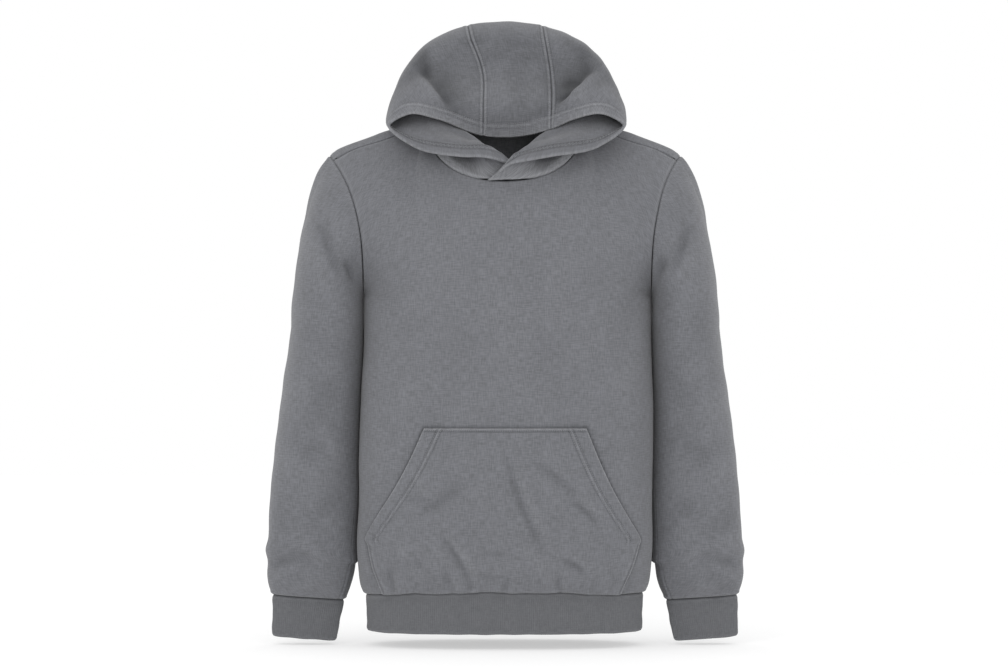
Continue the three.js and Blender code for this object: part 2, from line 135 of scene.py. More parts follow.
def spline(points: Array, at: Array) -> Array:
    """A smooth curve through points, with pulls that follow the chord lengths.

    Args:
        points: The points, first axis along the curve.
        at: Places along it, counted in spans. One axis if the points have more than two.

    Returns:
        The points at those places.
    """
    points, at = np.asarray(points, float), np.asarray(at, float)
    steps = np.diff(points, axis=0)
    spans = np.linalg.norm(steps, axis=-1, keepdims=True)
    a, b = spans[:-1], spans[1:]
    inner = (steps[:-1] * b / a + steps[1:] * a / b) / (a + b)
    slopes = np.concatenate([steps[:1] / spans[:1], inner, steps[-1:] / spans[-1:]])
    i = np.clip(np.floor(at).astype(int), 0, len(points) - 2)
    t = (at - i).reshape(at.shape + (1,) * (points.ndim - 1))
    return hermite(points[i], slopes[i] * spans[i], points[i + 1], slopes[i + 1] * spans[i], t)


class Table:
    """Rows with named columns, the first of which is the height z."""

    def __init__(self, columns: str, *rows: tuple[float, ...]) -> None:
        """Keeps the rows in rising order of z.

        Args:
            columns: The columns' names, with spaces between.
            rows: The rows.
        """
        self.names = columns.split()
        self.rows = np.array(sorted(rows), float)

    def at(self, z: Array) -> dict[str, Array]:
        """A row for each height, blended smoothly between its neighbours.

        Args:
            z: Heights.

        Returns:
            Each column's values by name.
        """
        z, rows = np.asarray(z, float), self.rows
        last = len(rows) - 1
        i = np.clip(np.searchsorted(rows[:, 0], z, side="left") - 1, 0, last - 1)
        span = rows[i + 1, 0] - rows[i, 0]
        t = np.clip((z - rows[i, 0]) / span, 0, 1)
        order = np.arange(last + 1)
        before, after = rows[np.maximum(order - 1, 0)], rows[np.minimum(order + 1, last)]
        slope = (after - before) / (after[:, :1] - before[:, :1])
        rise = t * t * (3 - 2 * t)
        return {
            name: rows[i, k] * (1 - rise)
            + rows[i + 1, k] * rise
            + span * slope[i, k] * t * (1 - t) ** 2
            - span * slope[i + 1, k] * t * t * (1 - t)
            for k, name in enumerate(self.names)
        }

    def where(self, name: str, least: float) -> Table:
        """The rows whose named column is at least a value, as a table of their own."""
        kept = self.rows[self.rows[:, self.names.index(name)] >= least]
        return Table(" ".join(self.names), *map(tuple, kept))


# Form of the garment

CLOTH = 2.0  # brushed fleece, one layer
SEAM = 0.3  # gap between pieces that are sewn together
CHEST_Z = -222.0
HEM_SEAM_Z, HEM_END_Z = -626.5, -684.5
CUFF_SEAM_Z, CUFF_END_Z = -640.0, -697.0
SIDE_POWER, SLEEVE_POWER = 2.6, 2.2
SLEEVE_CLEAR = 0.4
CUFF_TILT = 3.5

BODY = Table(
    "z left right front back",
    (-626.5, 195, 193.5, 103, 97),
    (-616, 201.5, 200, 109, 102),
    (-592, 205, 204, 115, 106),
    (-560, 207, 206, 118, 108),
    (-504, 204, 205.5, 119, 109),
    (-434, 204, 207, 120, 111),
    (-364, 201.5, 207, 121, 113),
    (-294, 197.5, 204.5, 122, 115),
    (-222, 197, 203.5, 122, 116),
)
# Armhole seam from the underarm up to the shoulder tip: z, x on each side, y in front and behind
ARMHOLE = np.array(
    [
        (-222, 197, 203.5, 0, 0),
        (-203, 196.5, 203, -33, 36),
        (-172, 196.5, 203, -57, 61),
        (-136, 199, 205, -70, 74),
        (-100, 206, 211, -69, 71),
        (-72, 215, 218, -59, 58),
        (-46, 228, 229, -40, 35),
        (-29, 239, 239, -20, 13),
        (-22, 244.5, 244.5, -4, -4),
    ],
    float,
)
# Neck seam on the +X side from centre front over the shoulder to centre back
NECKLINE = np.array(
    [
        (0, -97, -62),
        (36, -95, -58.5),
        (62, -88.5, -50),
        (84, -77, -36),
        (98, -60, -18),
        (104, -38, 6),
        (103, -18, 24),
        (98, 12, 30),
        (82, 48, 27),
        (48, 70, 21),
        (0, 77, 18),
    ],
    float,
)
NECK_SHOULDER = 6  # index of the point where the shoulder seam meets the neck
SHOULDER = np.array([(103, -18, 24), (168, -26, -1), (216, -24, -16.5), (239, -20, -29)], float)
SLEEVE = Table(
    "z outer inner centre depth",
    (-262, 300, 0, 8, 84),
    (-300, 305, 0, 10, 80),
    (-364, 314, 0, 13, 72),
    (-434, 323, 0, 14, 63),
    (-504, 329.5, 0, 12, 54),
    (-556, 332, 0, 10, 47),
    (-574, 335.5, 0, 9, 48),
    (-590, 333, 209.5, 8, 43),
    (-610, 334, 213, 7, 41),
    (-626, 331.5, 218, 6, 33),
    (CUFF_SEAM_Z, 326, 225, 5, 20),
)
SLEEVE_TOP_Z = -262.0
CUFF = Table(
    "z outer inner centre depth",
    (CUFF_SEAM_Z, 325.5, 225.5, 5, 19.5),
    (-655, 325.5, 228.5, 5, 18.5),
    (CUFF_END_Z, 326, 237, 5, 16.5),
)
HEM = Table(
    "z left right front back",
    (HEM_SEAM_Z - SEAM, 194.5, 193, 102.5, 96.5),
    (-645, 193, 192, 98, 93),
    (HEM_END_Z, 193, 191.5, 96, 92),
)
POCKET_TOP_Z, POCKET_CORNER_Z, POCKET_FOOT_Z = -401.0, -553.0, -626.0
POCKET_SLANT = 0.883  # distance square to a hand opening for each mm across
# Kangaroo pocket: half widths at each height, and 1 where the hand openings are
POCKET = Table(
    "z left right open",
    (POCKET_TOP_Z, 110, 110.5, 1),
    (-446, 130, 128.5, 1),
    (-485, 150.5, 146, 1),
    (-520, 172, 165, 1),
    (POCKET_CORNER_Z, 191, 184, 0),
    (-562, 188.5, 183.5, 0),
    (-594, 181, 173, 0),
    (POCKET_FOOT_Z, 167, 158, 0),
)

# Hood: rings from the mouth hem to the neck, each with a point on each line of the +X half:
# crown, brow, temple, lobe, jaw, lip, chin, end
HOOD_RINGS = np.array(
    [
        [(63.5, -52, 13), (96, -64, 26), (135, -76, 33), (165, -72, 18),
         (130, -92, -14), (64, -114, -29), (34, -119, -34.5), (7, -120, -39)],
        [(64, -56, 46), (106, -70, 58), (150, -60, 52), (169, -46, 22),
         (136, -72, 6), (62, -96, -10), (31, -107, -24), (-3, -116, -46)],
        [(62, -20, 100), (114, -40, 96), (155, -36, 68), (168, -26, 29),
         (131, -50, 26), (60, -70, -3), (30, -97, -15), (-9, -112, -50)],
        [(56, -26, 137), (112, -28, 124), (153, -22, 79), (165, -14, 35),
         (126, -36, 39), (61, -42, 8.5), (30, -94, -16), (-11, -110, -52)],
        [(53, 4, 159), (104, 4, 141), (149, -4, 88), (158, -2, 39),
         (121, -29, 42), (62, -38, 5), (30, -94, -25), (-13, -108, -54)],
        [(52, 78, 138), (98, 58, 122), (140, 30, 84), (144, 4, 47),
         (116, -30, 38), (61, -55, -12), (32, -94.5, -41), (-16, -105, -57)],
        [(50, 120, 76), (88, 94, 72), (121, 42, 64), (124, 0, 48),
         (112, -39, 30), (61, -78, -32), (35, -96.5, -50), (-19, -103, -59)],
        [(48, 98, 38), (82, 68, 42), (104, 26, 47), (107, -12, 43),
         (106, -43, 22), (61.5, -88, -44), (36, -97, -55), (-21, -102, -60.5)],
    ],
    float,
)  # fmt: skip
HOOD_TOP = [
    (14, -45, 2.5), (15, -54, 42), (12, -16, 102), (2, -25, 144),
    (0, 6, 165), (0, 84, 144), (0, 128, 78), (0, 102, 36),
]  # fmt: skip
HOOD_LEFT_CROWN = [
    (-30.5, -47, 4), (-30, -54, 42), (-33, -18, 102), (-47, -26, 139),
    (-52, 4, 160), (-52, 78, 138), (-50, 120, 76), (-48, 98, 38),
]  # fmt: skip
LEFT_CHIN = [
    (-22, -113, -31), (-20, -98, -18), (-21, -92, -23), (-23, -91, -29),
    (-26, -91.5, -34), (-29, -92, -42), (-33, -93.5, -50), (-36, -95.5, -55),
]  # fmt: skip
LEFT_END = [
    (20, -92, -44), (19, -90.5, -48), (19, -90, -50), (19, -89.5, -51.5),
    (19, -89, -53), (19, -88.5, -55), (19, -88, -56.5), (19, -88, -58), (19, -87.5, -59),
]  # fmt: skip
RIGHT_END_FOOT = (-22, -102, -61)
HOOD_FOOT = (9, 8, 7, 6, 5, 2, 1)  # row of NECKLINE where crown to chin meet the neck seam
LEFT_HALF = 0.975  # the left side panel is this much narrower than the right one
LAST_LINE = 8  # the hood's lines are counted from 0 in the middle to 8 at each front end
NECK_SEAT = 0.3  # the hood's foot stands this far above the panels' edge
# How the rolled lower edges of the mouth leave their lines: x, width and rise
LIP_WAVES = ((-42, 7, 4.0), (-33, 7, 6.0), (-8, 16, -3.2))


def boxy(v: Array, power: float) -> Array:
    """A cosine or sine made boxier, for a rounded section."""
    return np.sign(v) * np.abs(v) ** (2 / power)


def body_width(row: dict[str, Array], side: Array) -> Array:
    """The half width of a row on each point's side."""
    return np.where(side > 0, row["right"], row["left"])


def body_point(face: Face, side: Array, turn: Array, z: Array, table: Table = BODY) -> Array:
    """Points of a body section.

    Args:
        face: The panel.
        side: The sign of x.
        turn: 0 at the side seam and 1 at the centre.
        z: Heights.
        table: The sections.

    Returns:
        The points.
    """
    row = table.at(z)
    angle = turn * math.pi / 2
    depth = -row["front"] if face is Face.FRONT else row["back"]
    x = side * body_width(row, side) * boxy(np.cos(angle), SIDE_POWER)
    return np.stack([x, depth * boxy(np.sin(angle), SIDE_POWER), z + 0 * turn], axis=-1)


def armhole_line(face: Face, side: int) -> Array:
    """The armhole seam of one panel, from the underarm to the shoulder seam ahead of the tip.

    Args:
        face: The panel.
        side: The sign of x.

    Returns:
        The seam's points.
    """
    x = side * (ARMHOLE[:, 2] if side > 0 else ARMHOLE[:, 1])
    front = np.stack([x, ARMHOLE[:, 3], ARMHOLE[:, 0]], axis=1)[:-1]
    if face is Face.FRONT:
        return front
    return np.concatenate([np.stack([x, ARMHOLE[:, 4], ARMHOLE[:, 0]], axis=1), front[-1:]])


def yoke_share(t: Array) -> Array:
    """How far up the armhole a share of its rows lies."""
    return 1 - (1 - t) ** 1.25


@dataclass(frozen=True)
class Shoulders:
    """How the panels' lines rise from the chest and lean over into the top seams."""

    neck_turn: float = 0.64
    armhole_cut: float = 0.3
    rise: dict[Face, float] = field(default_factory=lambda: {Face.FRONT: 165.0, Face.BACK: 250.0})
    rise_side: float = 265.0
    lean: dict[Face, tuple] = field(
        default_factory=lambda: {
            Face.FRONT: (
                ((0, 70, 140), (-40, 60, 130), (-95, 80, 100), (-90, 140, 110)),
                ((-90, 140, 110), (-20, 160, 170), (0, 160, 180), (0, 150, 170)),
            ),
            Face.BACK: (
                ((0, -60, 150), (-50, -90, 90), (-110, -150, 25), (-90, -160, -50)),
                ((-90, -160, -50), (-20, -150, -240), (0, -140, -250), (0, -110, -150)),
            ),
        }
    )

    def skin(self, face: Face, side: Array, turn: Array, t: Array) -> Array:
        """Points of the shoulders as if they had no armholes.

        Args:
            face: The panel.
            side: The sign of x.
            turn: 0 at the side seam and 1 at the centre.
            t: 0 at the chest and 1 at the top seams.

        Returns:
            The points.
        """
        last = len(NECKLINE) - 1
        spans = last - NECK_SHOULDER if face is Face.BACK else NECK_SHOULDER
        to_neck = turn > self.neck_turn
        share = np.where(to_neck, (1 - turn) / (1 - self.neck_turn), 1 - turn / self.neck_turn)
        place = last - share * spans if face is Face.BACK else share * spans
        pick = to_neck[..., None]
        to = np.where(pick, spline(NECKLINE, place), spline(SHOULDER, share * 3))
        neck, shoulder = self.lean[face]
        pull = np.where(pick, spline(neck, 3 * share), spline(shoulder, 3 * share))
        to[..., 0] *= side
        pull[..., 0] *= side
        grow = np.where(to_neck, share**3, 1.0)
        up = np.zeros_like(to)
        up[..., 2] = self.rise[face] * (1 - grow) + self.rise_side * grow
        start = body_point(face, side, turn, np.full(turn.shape, CHEST_Z))
        return hermite(start, up, to, pull, t[..., None])

    def yoke(self, face: Face, side: Array, turn: Array, t: Array) -> Array:
        """Points of a panel above the chest, with its armholes cut away.

        Args:
            face: The panel.
            side: The sign of x.
            turn: 0 at the armhole and 1 at the centre.
            t: 0 at the chest and 1 at the top seams.

        Returns:
            The points.
        """
        cut = self.armhole_cut * np.sin(math.pi * np.clip(t, 0, 1)) ** 0.8
        edges = [armhole_line(face, s) for s in (-1, 1)]
        lines = [spline(edge, t * (len(edge) - 1)) for edge in edges]
        on_line = np.where((side > 0)[..., None], lines[1], lines[0])
        miss = on_line - self.skin(face, side, cut, t)
        slid = self.skin(face, side, cut * (1 - turn) + turn, t)
        return slid + miss * (1 - smooth(0, 0.6, turn))[..., None]


SHOULDERS = Shoulders()


def body_surface(face: Face, u: Array, v: Array) -> Array:
    """A body panel's outer face.

    Args:
        face: The panel.
        u: From -1 to 1 across, 0 at the centre.
        v: 0 at the hem seam, 1 at the chest, 2 at the top seams.

    Returns:
        The points.
    """
    side, turn = np.where(u < 0, -1.0, 1.0), 1 - np.abs(u)
    trim = 0.006 + (0.0018 - 0.006) * smooth(0, 0.3, turn)
    low = body_point(face, side, turn, HEM_SEAM_Z + (CHEST_Z - HEM_SEAM_Z) * np.minimum(v, 1))
    high = SHOULDERS.yoke(face, side, turn, np.clip(v - 1, 0, 1 - trim))
    points = np.where((v < 1)[..., None], low, high)
    points[..., 1] += -SEAM / 2 if face is Face.FRONT else SEAM / 2
    return points


def ring_point(row: dict[str, Array], side: int, angle: Array, z: Array) -> Array:
    """Points of a sleeve or cuff section.

    Args:
        row: The section's columns at each point.
        side: The sign of x.
        angle: 0 on the outer side, growing by way of the front.
        z: Heights.

    Returns:
        The points.
    """
    follows = SLEEVE_CLEAR + body_width(BODY.at(z), np.full(z.shape, side))
    inner = np.where(row["inner"] > 0, row["inner"], follows)
    half = (row["outer"] - inner) / 2
    x = side * (inner + half * (1 + boxy(np.cos(angle), SLEEVE_POWER)))
    return np.stack([x, row["centre"] - row["depth"] * boxy(np.sin(angle), SLEEVE_POWER), z], -1)


def sleeve_row(z: Array) -> dict[str, Array]:
    """The sleeve's section at each height.

    Args:
        z: Heights.

    Returns:
        The section's columns. Its inner edge is 0 where it follows the body.
    """
    row = SLEEVE.at(z)
    free = SLEEVE.where("inner", 1)
    row["inner"] = np.where(z < free.rows[-1, 0], free.at(z)["inner"], 0)
    return row


def sleeve_surface(side: int, u: Array, v: Array, seat: float = 0.5) -> Array:
    """A sleeve's outer face.

    Args:
        side: The sign of x.
        u: The way round, from the shoulder forward.
        v: 0 to 1 over the cap and 1 to 2 down to the cuff seam.
        seat: Gap to the panels at the armhole.

    Returns:
        The points.
    """
    place = np.mod(u, 1.0)
    angle = 2 * math.pi * place
    z = SLEEVE_TOP_Z + (CUFF_SEAM_Z - SLEEVE_TOP_Z) * np.clip(v - 1, 0, 1)
    low = ring_point(sleeve_row(z), side, angle, z)
    low[..., 2] += CUFF_TILT * np.cos(angle) * (1 - smooth(CUFF_SEAM_Z, -560, z))
    down = np.where(place <= 0.5, 2 * place, 2 - 2 * place)
    edges = [armhole_line(face, side) for face in (Face.FRONT, Face.BACK)]
    seams = [spline(edge, yoke_share(1 - down) * (len(edge) - 1)) for edge in edges]
    seam = np.where((place <= 0.5)[..., None], *seams)
    up, under, front = ((1 + np.cos(angle)) / 2) ** 2, (1 - np.cos(angle)) / 2, np.sin(angle)
    outward = side * (12 + 100 * up + 49 * np.abs(front))
    leaving = np.stack([outward, -28 * front, -10 - 89 * up - 20 * under], -1)
    start = seam + leaving / np.linalg.norm(leaving, axis=-1, keepdims=True) * seat
    top = np.full(angle.shape, SLEEVE_TOP_Z)
    to = ring_point(sleeve_row(top), side, angle, top)
    pull = np.zeros_like(to)
    pull[..., 2] = -np.maximum(30, (start[..., 2] - to[..., 2]) * 0.85)
    cap = hermite(start, leaving, to, pull, np.clip(v, 0, 1)[..., None])
    return np.where((v < 1)[..., None], cap, low)


def front_skin(x: Array, z: Array, out: Array) -> Array:
    """The front panel's face, moved out along its normal.

    Args:
        x: Places across.
        z: Heights.
        out: How far out of the face each point lies.

    Returns:
        The points.
    """

    def face_y(px: Array, pz: Array) -> Array:
        """The y of the panel's face."""
        row = BODY.at(pz)
        share = np.clip(np.abs(px / body_width(row, px)), 0, 1)
        return -row["front"] * (1 - share**SIDE_POWER) ** (1 / SIDE_POWER) - SEAM / 2

    step = 0.5
    slope_x = (face_y(x + step, z) - face_y(x - step, z)) / (2 * step)
    slope_z = (face_y(x, z + step) - face_y(x, z - step)) / (2 * step)
    normal = np.stack([slope_x, -np.ones_like(x), slope_z], -1)
    normal /= np.linalg.norm(normal, axis=-1, keepdims=True)
    return np.stack([x, face_y(x, z), z], -1) + normal * out[..., None]


def hood_lines() -> Array:
    """The hood's lines from the left front end over the crown to the right one.

    Returns:
        The points, (line, ring, xyz).
    """

    def neck_corner(side: int, k: int) -> Array:
        """The place where a line meets the neck seam."""
        return NECKLINE[k] * (side, 1, 1) + (0, 0, NECK_SEAT)

    def line(k: int, side: int) -> Array:
        """One line of a side, of which 7 is its front end."""
        if k == 7:
            return np.array(LEFT_END if side < 0 else [*HOOD_RINGS[:, 7], RIGHT_END_FOOT], float)
        own = {0: HOOD_LEFT_CROWN, 6: LEFT_CHIN}.get(k) if side < 0 else None
        points = HOOD_RINGS[:, k] * ((1, 1, 1) if side > 0 else (-LEFT_HALF, 1, 1))
        return np.array([*(own or points), neck_corner(side, HOOD_FOOT[k])], float)

    top = np.array([*HOOD_TOP, neck_corner(1, 10)], float)
    return np.stack([*(line(k, -1) for k in range(7, -1, -1)), top, *(line(k, 1) for k in range(8))])


def hood_surface(us: Array, vs: Array) -> Array:
    """The hood's outer face, as a grid.

    Args:
        us: Lines to either side of the middle one, for each column.
        vs: Rings from the mouth hem to the neck, for each row.

    Returns:
        The points, (rows, columns, xyz).
    """
    lines = np.stack([spline(line, vs) for line in hood_lines()])
    grid = spline(lines, us + LAST_LINE).transpose(1, 0, 2)
    feet = np.array([10, *HOOD_FOOT, 0], float)
    side = np.where(us < 0, -1.0, 1.0)
    place = np.interp(np.abs(us), np.arange(LAST_LINE + 1), feet)
    mirror = np.stack([side, 0 * side + 1, 0 * side + 1], -1)
    foot = spline(NECKLINE, place) * mirror
    foot[:, 2] += NECK_SEAT
    ends = np.where((side > 0)[:, None], np.array(RIGHT_END_FOOT, float), np.array(LEFT_END[-1], float))
    share = np.clip(np.abs(us) - 7, 0, 1)[:, None]
    chin = NECKLINE[1] * mirror + (0, 0, NECK_SEAT)
    foot = np.where(share > 0, chin * (1 - share) + ends * share, foot)
    at_neck = spline(np.stack([line[-1] for line in hood_lines()]), us + LAST_LINE)
    return grid + (foot - at_neck)[None] * smooth(7.0, 8.0, vs)[:, None, None] ** 1.5


# Cloth grids


@dataclass
class Weave:
    """A cloth piece as a grid of points on its outer face, rows by columns."""

    points: Array
    ring: bool = False
    turned: bool = False
    lining: float | Array = -0.15  # shift of the inner face's colour from the outer one's: paler above 0, darker below

    def __post_init__(self) -> None:
        """Starts the piece with no relief, no colour shift and one layer of cloth."""
        self.fade = np.zeros(self.points.shape[:2])
        self.thick = np.full(self.points.shape[:2], CLOTH)
        self.reach = self.measure()

    def measure(self) -> dict[Edge, Array]:
        """How far each point lies from each edge of the grid.

        Returns:
            The distances along the point's row or column, in mm, by edge.
        """
        across = np.linalg.norm(np.diff(self.points, axis=1), axis=2)
        along = np.linalg.norm(np.diff(self.points, axis=0), axis=2)
        first = np.pad(np.cumsum(across, axis=1), ((0, 0), (1, 0)))
        low = np.pad(np.cumsum(along, axis=0), ((1, 0), (0, 0)))
        return {Edge.FIRST: first, Edge.LAST: first[:, -1:] - first, Edge.LOW: low, Edge.HIGH: low[-1:] - low}

    def normals(self) -> Array:
        """The way out of the cloth at each point.

        Returns:
            The outward unit normals.
        """
        p = self.points
        if self.ring:
            across = np.roll(p, -1, axis=1) - np.roll(p, 1, axis=1)
        else:
            across = np.gradient(p, axis=1)
        n = np.cross(across, np.gradient(p, axis=0))
        n /= np.maximum(np.linalg.norm(n, axis=2, keepdims=True), 1e-9)
        return -n if self.turned else n

    def raise_by(self, lift: Array, shade: float = 0.0) -> None:
        """Moves the points out along their normals.

        Args:
            lift: How far each point moves, in mm.
            shade: How much of the lift, per mm, is also painted into the colour: paler on ridges as painted
                light and darker in troughs as painted shade.
        """
        self.points = self.points + self.normals() * lift[..., None]
        self.fade = self.fade + shade * lift

    def line(
        self, edge: Edge, distance: float, start: float = 0.0, stop: float = 1.0
    ) -> tuple[Array, Array]:
        """A line on the cloth at a distance from one of its edges.

        Args:
            edge: The edge.
            distance: How far in, in mm.
            start: Share of the edge where the line starts.
            stop: Share of the edge where it stops.

        Returns:
            The line's points and the outward normals there.
        """
        rows = edge in (Edge.LOW, Edge.HIGH)
        reach, p, n = self.reach[edge], self.points, self.normals()
        if not rows:
            reach, p, n = reach.T, p.transpose(1, 0, 2), n.transpose(1, 0, 2)
        if edge in (Edge.HIGH, Edge.LAST):
            reach, p, n = reach[::-1], p[::-1], n[::-1]
        count = reach.shape[1]
        steps = np.arange(len(reach))
        found_p, found_n = [], []
        for i in range(int(start * (count - 1)), int(stop * (count - 1)) + 1):
            f = float(np.interp(distance, reach[:, i], steps))
            a = min(int(f), len(reach) - 2)
            t = f - a
            found_p.append(p[a, i] * (1 - t) + p[a + 1, i] * t)
            found_n.append(n[a, i] * (1 - t) + n[a + 1, i] * t)
        return np.array(found_p), np.array(found_n)

    def shell(self) -> tuple[Array, Array, Array, Array]:
        """The closed shell: outer face, rounded rims and inner face.

        Returns:
            The vertices, the faces as rows of four corners (a triangle repeats its last one), the
            pattern place of each face corner in metres, and the colour shift at each vertex, which
            carries wear and painted light and shade.
        """
        rows, cols = self.points.shape[:2]
        outward = self.normals()
        outer, inner = self.points, self.points - outward * self.thick[..., None]
        ids = np.arange(rows * cols).reshape(rows, cols)
        inside = ids + rows * cols
        verts = [outer.reshape(-1, 3), inner.reshape(-1, 3)]
        wear_and_shading_parts = [self.fade.ravel(), (self.fade + self.lining).ravel()]
        used = 2 * rows * cols

        def rim(a: Array, b: Array, away: Array, thick: Array, fade: Array) -> Array:
            """Adds the points that round one edge off, and numbers them."""
            nonlocal used
            out = away / np.maximum(np.linalg.norm(away, axis=1, keepdims=True), 1e-9)
            verts.append((a + b) / 2 + out * thick[:, None] * 0.42)
            wear_and_shading_parts.append(fade)
            used += len(a)
            return np.arange(used - len(a), used)

        last = cols if self.ring else cols - 1
        now, nxt = np.arange(last), (np.arange(last) + 1) % cols
        faces: list[Array] = []

        def quads(a: Array, b: Array, c: Array, d: Array) -> None:
            """Adds a strip of faces with these corners."""
            block = np.stack([a.ravel(), b.ravel(), c.ravel(), d.ravel()], axis=1)
            faces.append(block[:, ::-1] if self.turned else block)

        quads(ids[:-1][:, now], ids[:-1][:, nxt], ids[1:][:, nxt], ids[1:][:, now])
        quads(inside[:-1][:, now], inside[1:][:, now], inside[1:][:, nxt], inside[:-1][:, nxt])
        low = rim(outer[0], inner[0], outer[0] - outer[1], self.thick[0], self.fade[0])
        high = rim(outer[-1], inner[-1], outer[-1] - outer[-2], self.thick[-1], self.fade[-1])
        for near, far, mid in ((inside[0], ids[0], low), (ids[-1], inside[-1], high)):
            quads(near[now], near[nxt], mid[nxt], mid[now])
            quads(mid[now], mid[nxt], far[nxt], far[now])
        if not self.ring:
            for k, beside, back in ((0, 1, False), (-1, -2, True)):
                away = outer[:, k] - outer[:, beside]
                mid = rim(outer[:, k], inner[:, k], away, self.thick[:, k], self.fade[:, k])
                o, i = ids[:, k], inside[:, k]
                strips = [(o[:-1], o[1:], mid[1:], mid[:-1]), (mid[:-1], mid[1:], i[1:], i[:-1])]
                ends = [(low[k], o[0], mid[0]), (low[k], mid[0], i[0])]
                ends += [(high[k], mid[-1], o[-1]), (high[k], i[-1], mid[-1])]
                blocks = strips + [tuple(np.array([v]) for v in (a, b, c, c)) for a, b, c in ends]
                for a, b, c, d in blocks:
                    if back:
                        quads(d, c, b, a) if np.any(c != d) else quads(b, a, c, c)
                    else:
                        quads(a, b, c, d)
        # The pattern follows the cloth's own lengths, out from the middle row and the middle column
        reach = self.measure()
        across, along = reach[Edge.FIRST], reach[Edge.LOW] - reach[Edge.LOW][rows // 2]
        whole = across[:, -1:] + np.linalg.norm(self.points[:, -1] - self.points[:, 0], axis=1)[:, None]
        across = across if self.ring else across - across[:, cols // 2][:, None]

        def spread(first: Array) -> Array:
            """The pattern place of every vertex, in mm, from its place across."""
            place = np.stack([first, along], axis=2)
            rest = [] if self.ring else [place[:, 0], place[:, -1]]
            return np.concatenate([place.reshape(-1, 2), place.reshape(-1, 2), place[0], place[-1], *rest])

        corners = np.concatenate(faces)
        at = spread(across)[corners]
        if self.ring:  # the last column's faces go on past the first column's place
            long = float(whole.min())
            wraps = np.ptp(at[..., 0], axis=1) > long / 2
            beyond = spread(across + whole)[corners]
            at[wraps] = np.where(at[wraps][..., :1] < long / 2, beyond[wraps], at[wraps])
        return np.concatenate(verts), corners, at * MM, np.concatenate(wear_and_shading_parts)


def steps_across(
    length: float, count: int, low: tuple[float, ...] = (), high: tuple[float, ...] = ()
) -> Array:
    """Shares of a length, even in the middle and close together at the ends.

    Args:
        length: The length in mm.
        count: Steps in the even part.
        low: Distances from the start, in mm, that get a place of their own.
        high: Distances from the end, likewise.

    Returns:
        The shares, from 0 to 1.
    """
    a = low[-1] / length if low else 0.0
    b = 1 - (high[-1] / length if high else 0.0)
    inner = np.linspace(a, b, count + 1)
    parts = [[0.0] if low else [], [x / length for x in low[:-1]], inner]
    parts += [[1 - x / length for x in reversed(high[:-1])], [1.0] if high else []]
    return np.unique(np.round(np.concatenate([np.asarray(p, float) for p in parts]), 9))


HEM_DROP, HEM_HALF_WIDTH = 7.0, 195.0  # how much lower the hem seam lies at a side than in the middle


def hem_droop(points: Array, share: Array | float = 1.0) -> Array:
    """The points again, with the hem seam lower at the sides and waving a little along its way.

    Args:
        points: Points of the body, the pocket or the hem band.
        share: How much of the drop reaches each point.

    Returns:
        The moved points.
    """
    moved = points.copy()
    x = points[..., 0]
    drop = HEM_DROP * (x / HEM_HALF_WIDTH) ** 2 + 0.8 * np.sin(x / 17) + 0.5 * np.sin(x / 8.3 + 1)
    moved[..., 2] -= drop * share
    return moved


NEAR_SEAM = (0.7, 1.5, 2.4, 3.4, 4.6, 6.2, 8.4)  # mm from an edge, where grids have a row or column


def creases(rows: tuple[tuple[float, ...], ...], x: Array, z: Array) -> Array:
    """Soft troughs and ridges along bowed lines.

    Args:
        rows: x and z of the start and of the end, bow to the left, width on the left and on the
            right of the line, and height, which is negative for a trough.
        x: First coordinate of the points.
        z: Second coordinate of the points.

    Returns:
        The lift at each point, in mm.
    """
    lift = np.zeros_like(x)
    for x0, z0, x1, z1, bow, near, far, height in rows:
        start, end = np.array([x0, z0], float), np.array([x1, z1], float)
        along = end - start
        long = float(np.linalg.norm(along))
        left = np.array([-along[1], along[0]]) / long
        middle = (start + end) / 2 + left * bow
        box = max(near, far) * 2.4 + abs(bow)  # outside it the crease has died away
        inside = (x > min(x0, x1) - box) & (x < max(x0, x1) + box)
        inside &= (z > min(z0, z1) - box) & (z < max(z0, z1) + box)
        if not inside.any():
            continue
        px, pz = x[inside], z[inside]
        best = np.full(px.shape, 1e9)
        best_side, best_s = np.zeros(px.shape), np.zeros(px.shape)
        parts = 8 if bow else 1
        t = np.linspace(0, 1, parts + 1)[:, None]
        bowed = start * (1 - t) ** 2 + middle * 2 * t * (1 - t) + end * t * t
        knots = bowed if bow else np.stack([start, end])
        for k in range(parts):
            a, d = knots[k], knots[k + 1] - knots[k]
            s = np.clip(((px - a[0]) * d[0] + (pz - a[1]) * d[1]) / (d @ d), 0, 1)
            ox, oz = px - a[0] - s * d[0], pz - a[1] - s * d[1]
            away = np.hypot(ox, oz)
            closer = away < best
            best[closer] = away[closer]
            best_side[closer] = (d[0] * oz - d[1] * ox)[closer]
            best_s[closer] = ((k + s) / parts)[closer]
        width = np.where(best_side > 0, near, far)
        ends = np.clip(np.sin(math.pi * np.clip(best_s, 0.02, 0.98)), 0, 1) ** 0.55
        lift[inside] += height * np.exp(-((best / width) ** 2)) * ends
    return lift


# Waves that add up to the cloth's unevenness: direction, pace beside the first wave, and offset
WAVES = ((0.3, 1.0, 0.0), (1.5, 0.83, 1.7), (2.5, 1.27, 4.1), (0.95, 0.61, 2.6), (2.05, 1.71, 5.2))


def unevenness(x: Array, z: Array, size: float, phase: float) -> Array:
    """A gentle, uneven rise and fall of the cloth, about 1 at most.

    Args:
        x: First coordinate of the points, in mm.
        z: Second coordinate of the points.
        size: The usual distance between two rises.
        phase: Shifts the pattern, so that no two pieces have the same.

    Returns:
        The rise at each point.
    """
    k = 2 * math.pi / size
    total = np.zeros_like(x)
    for turn, scale, offset in WAVES:
        total += np.sin(k * scale * (x * math.cos(turn) + z * math.sin(turn)) + offset + phase)
    return total / 3.0


def seam_roll(distance: Array, depth: float, ridge: float = 0.5) -> Array:
    """The lift of cloth beside a seam: it dips into the seam and stands up a little beside it."""
    return -depth * bell(distance, 1.5) + ridge * bell(distance - 4.2, 2.4)


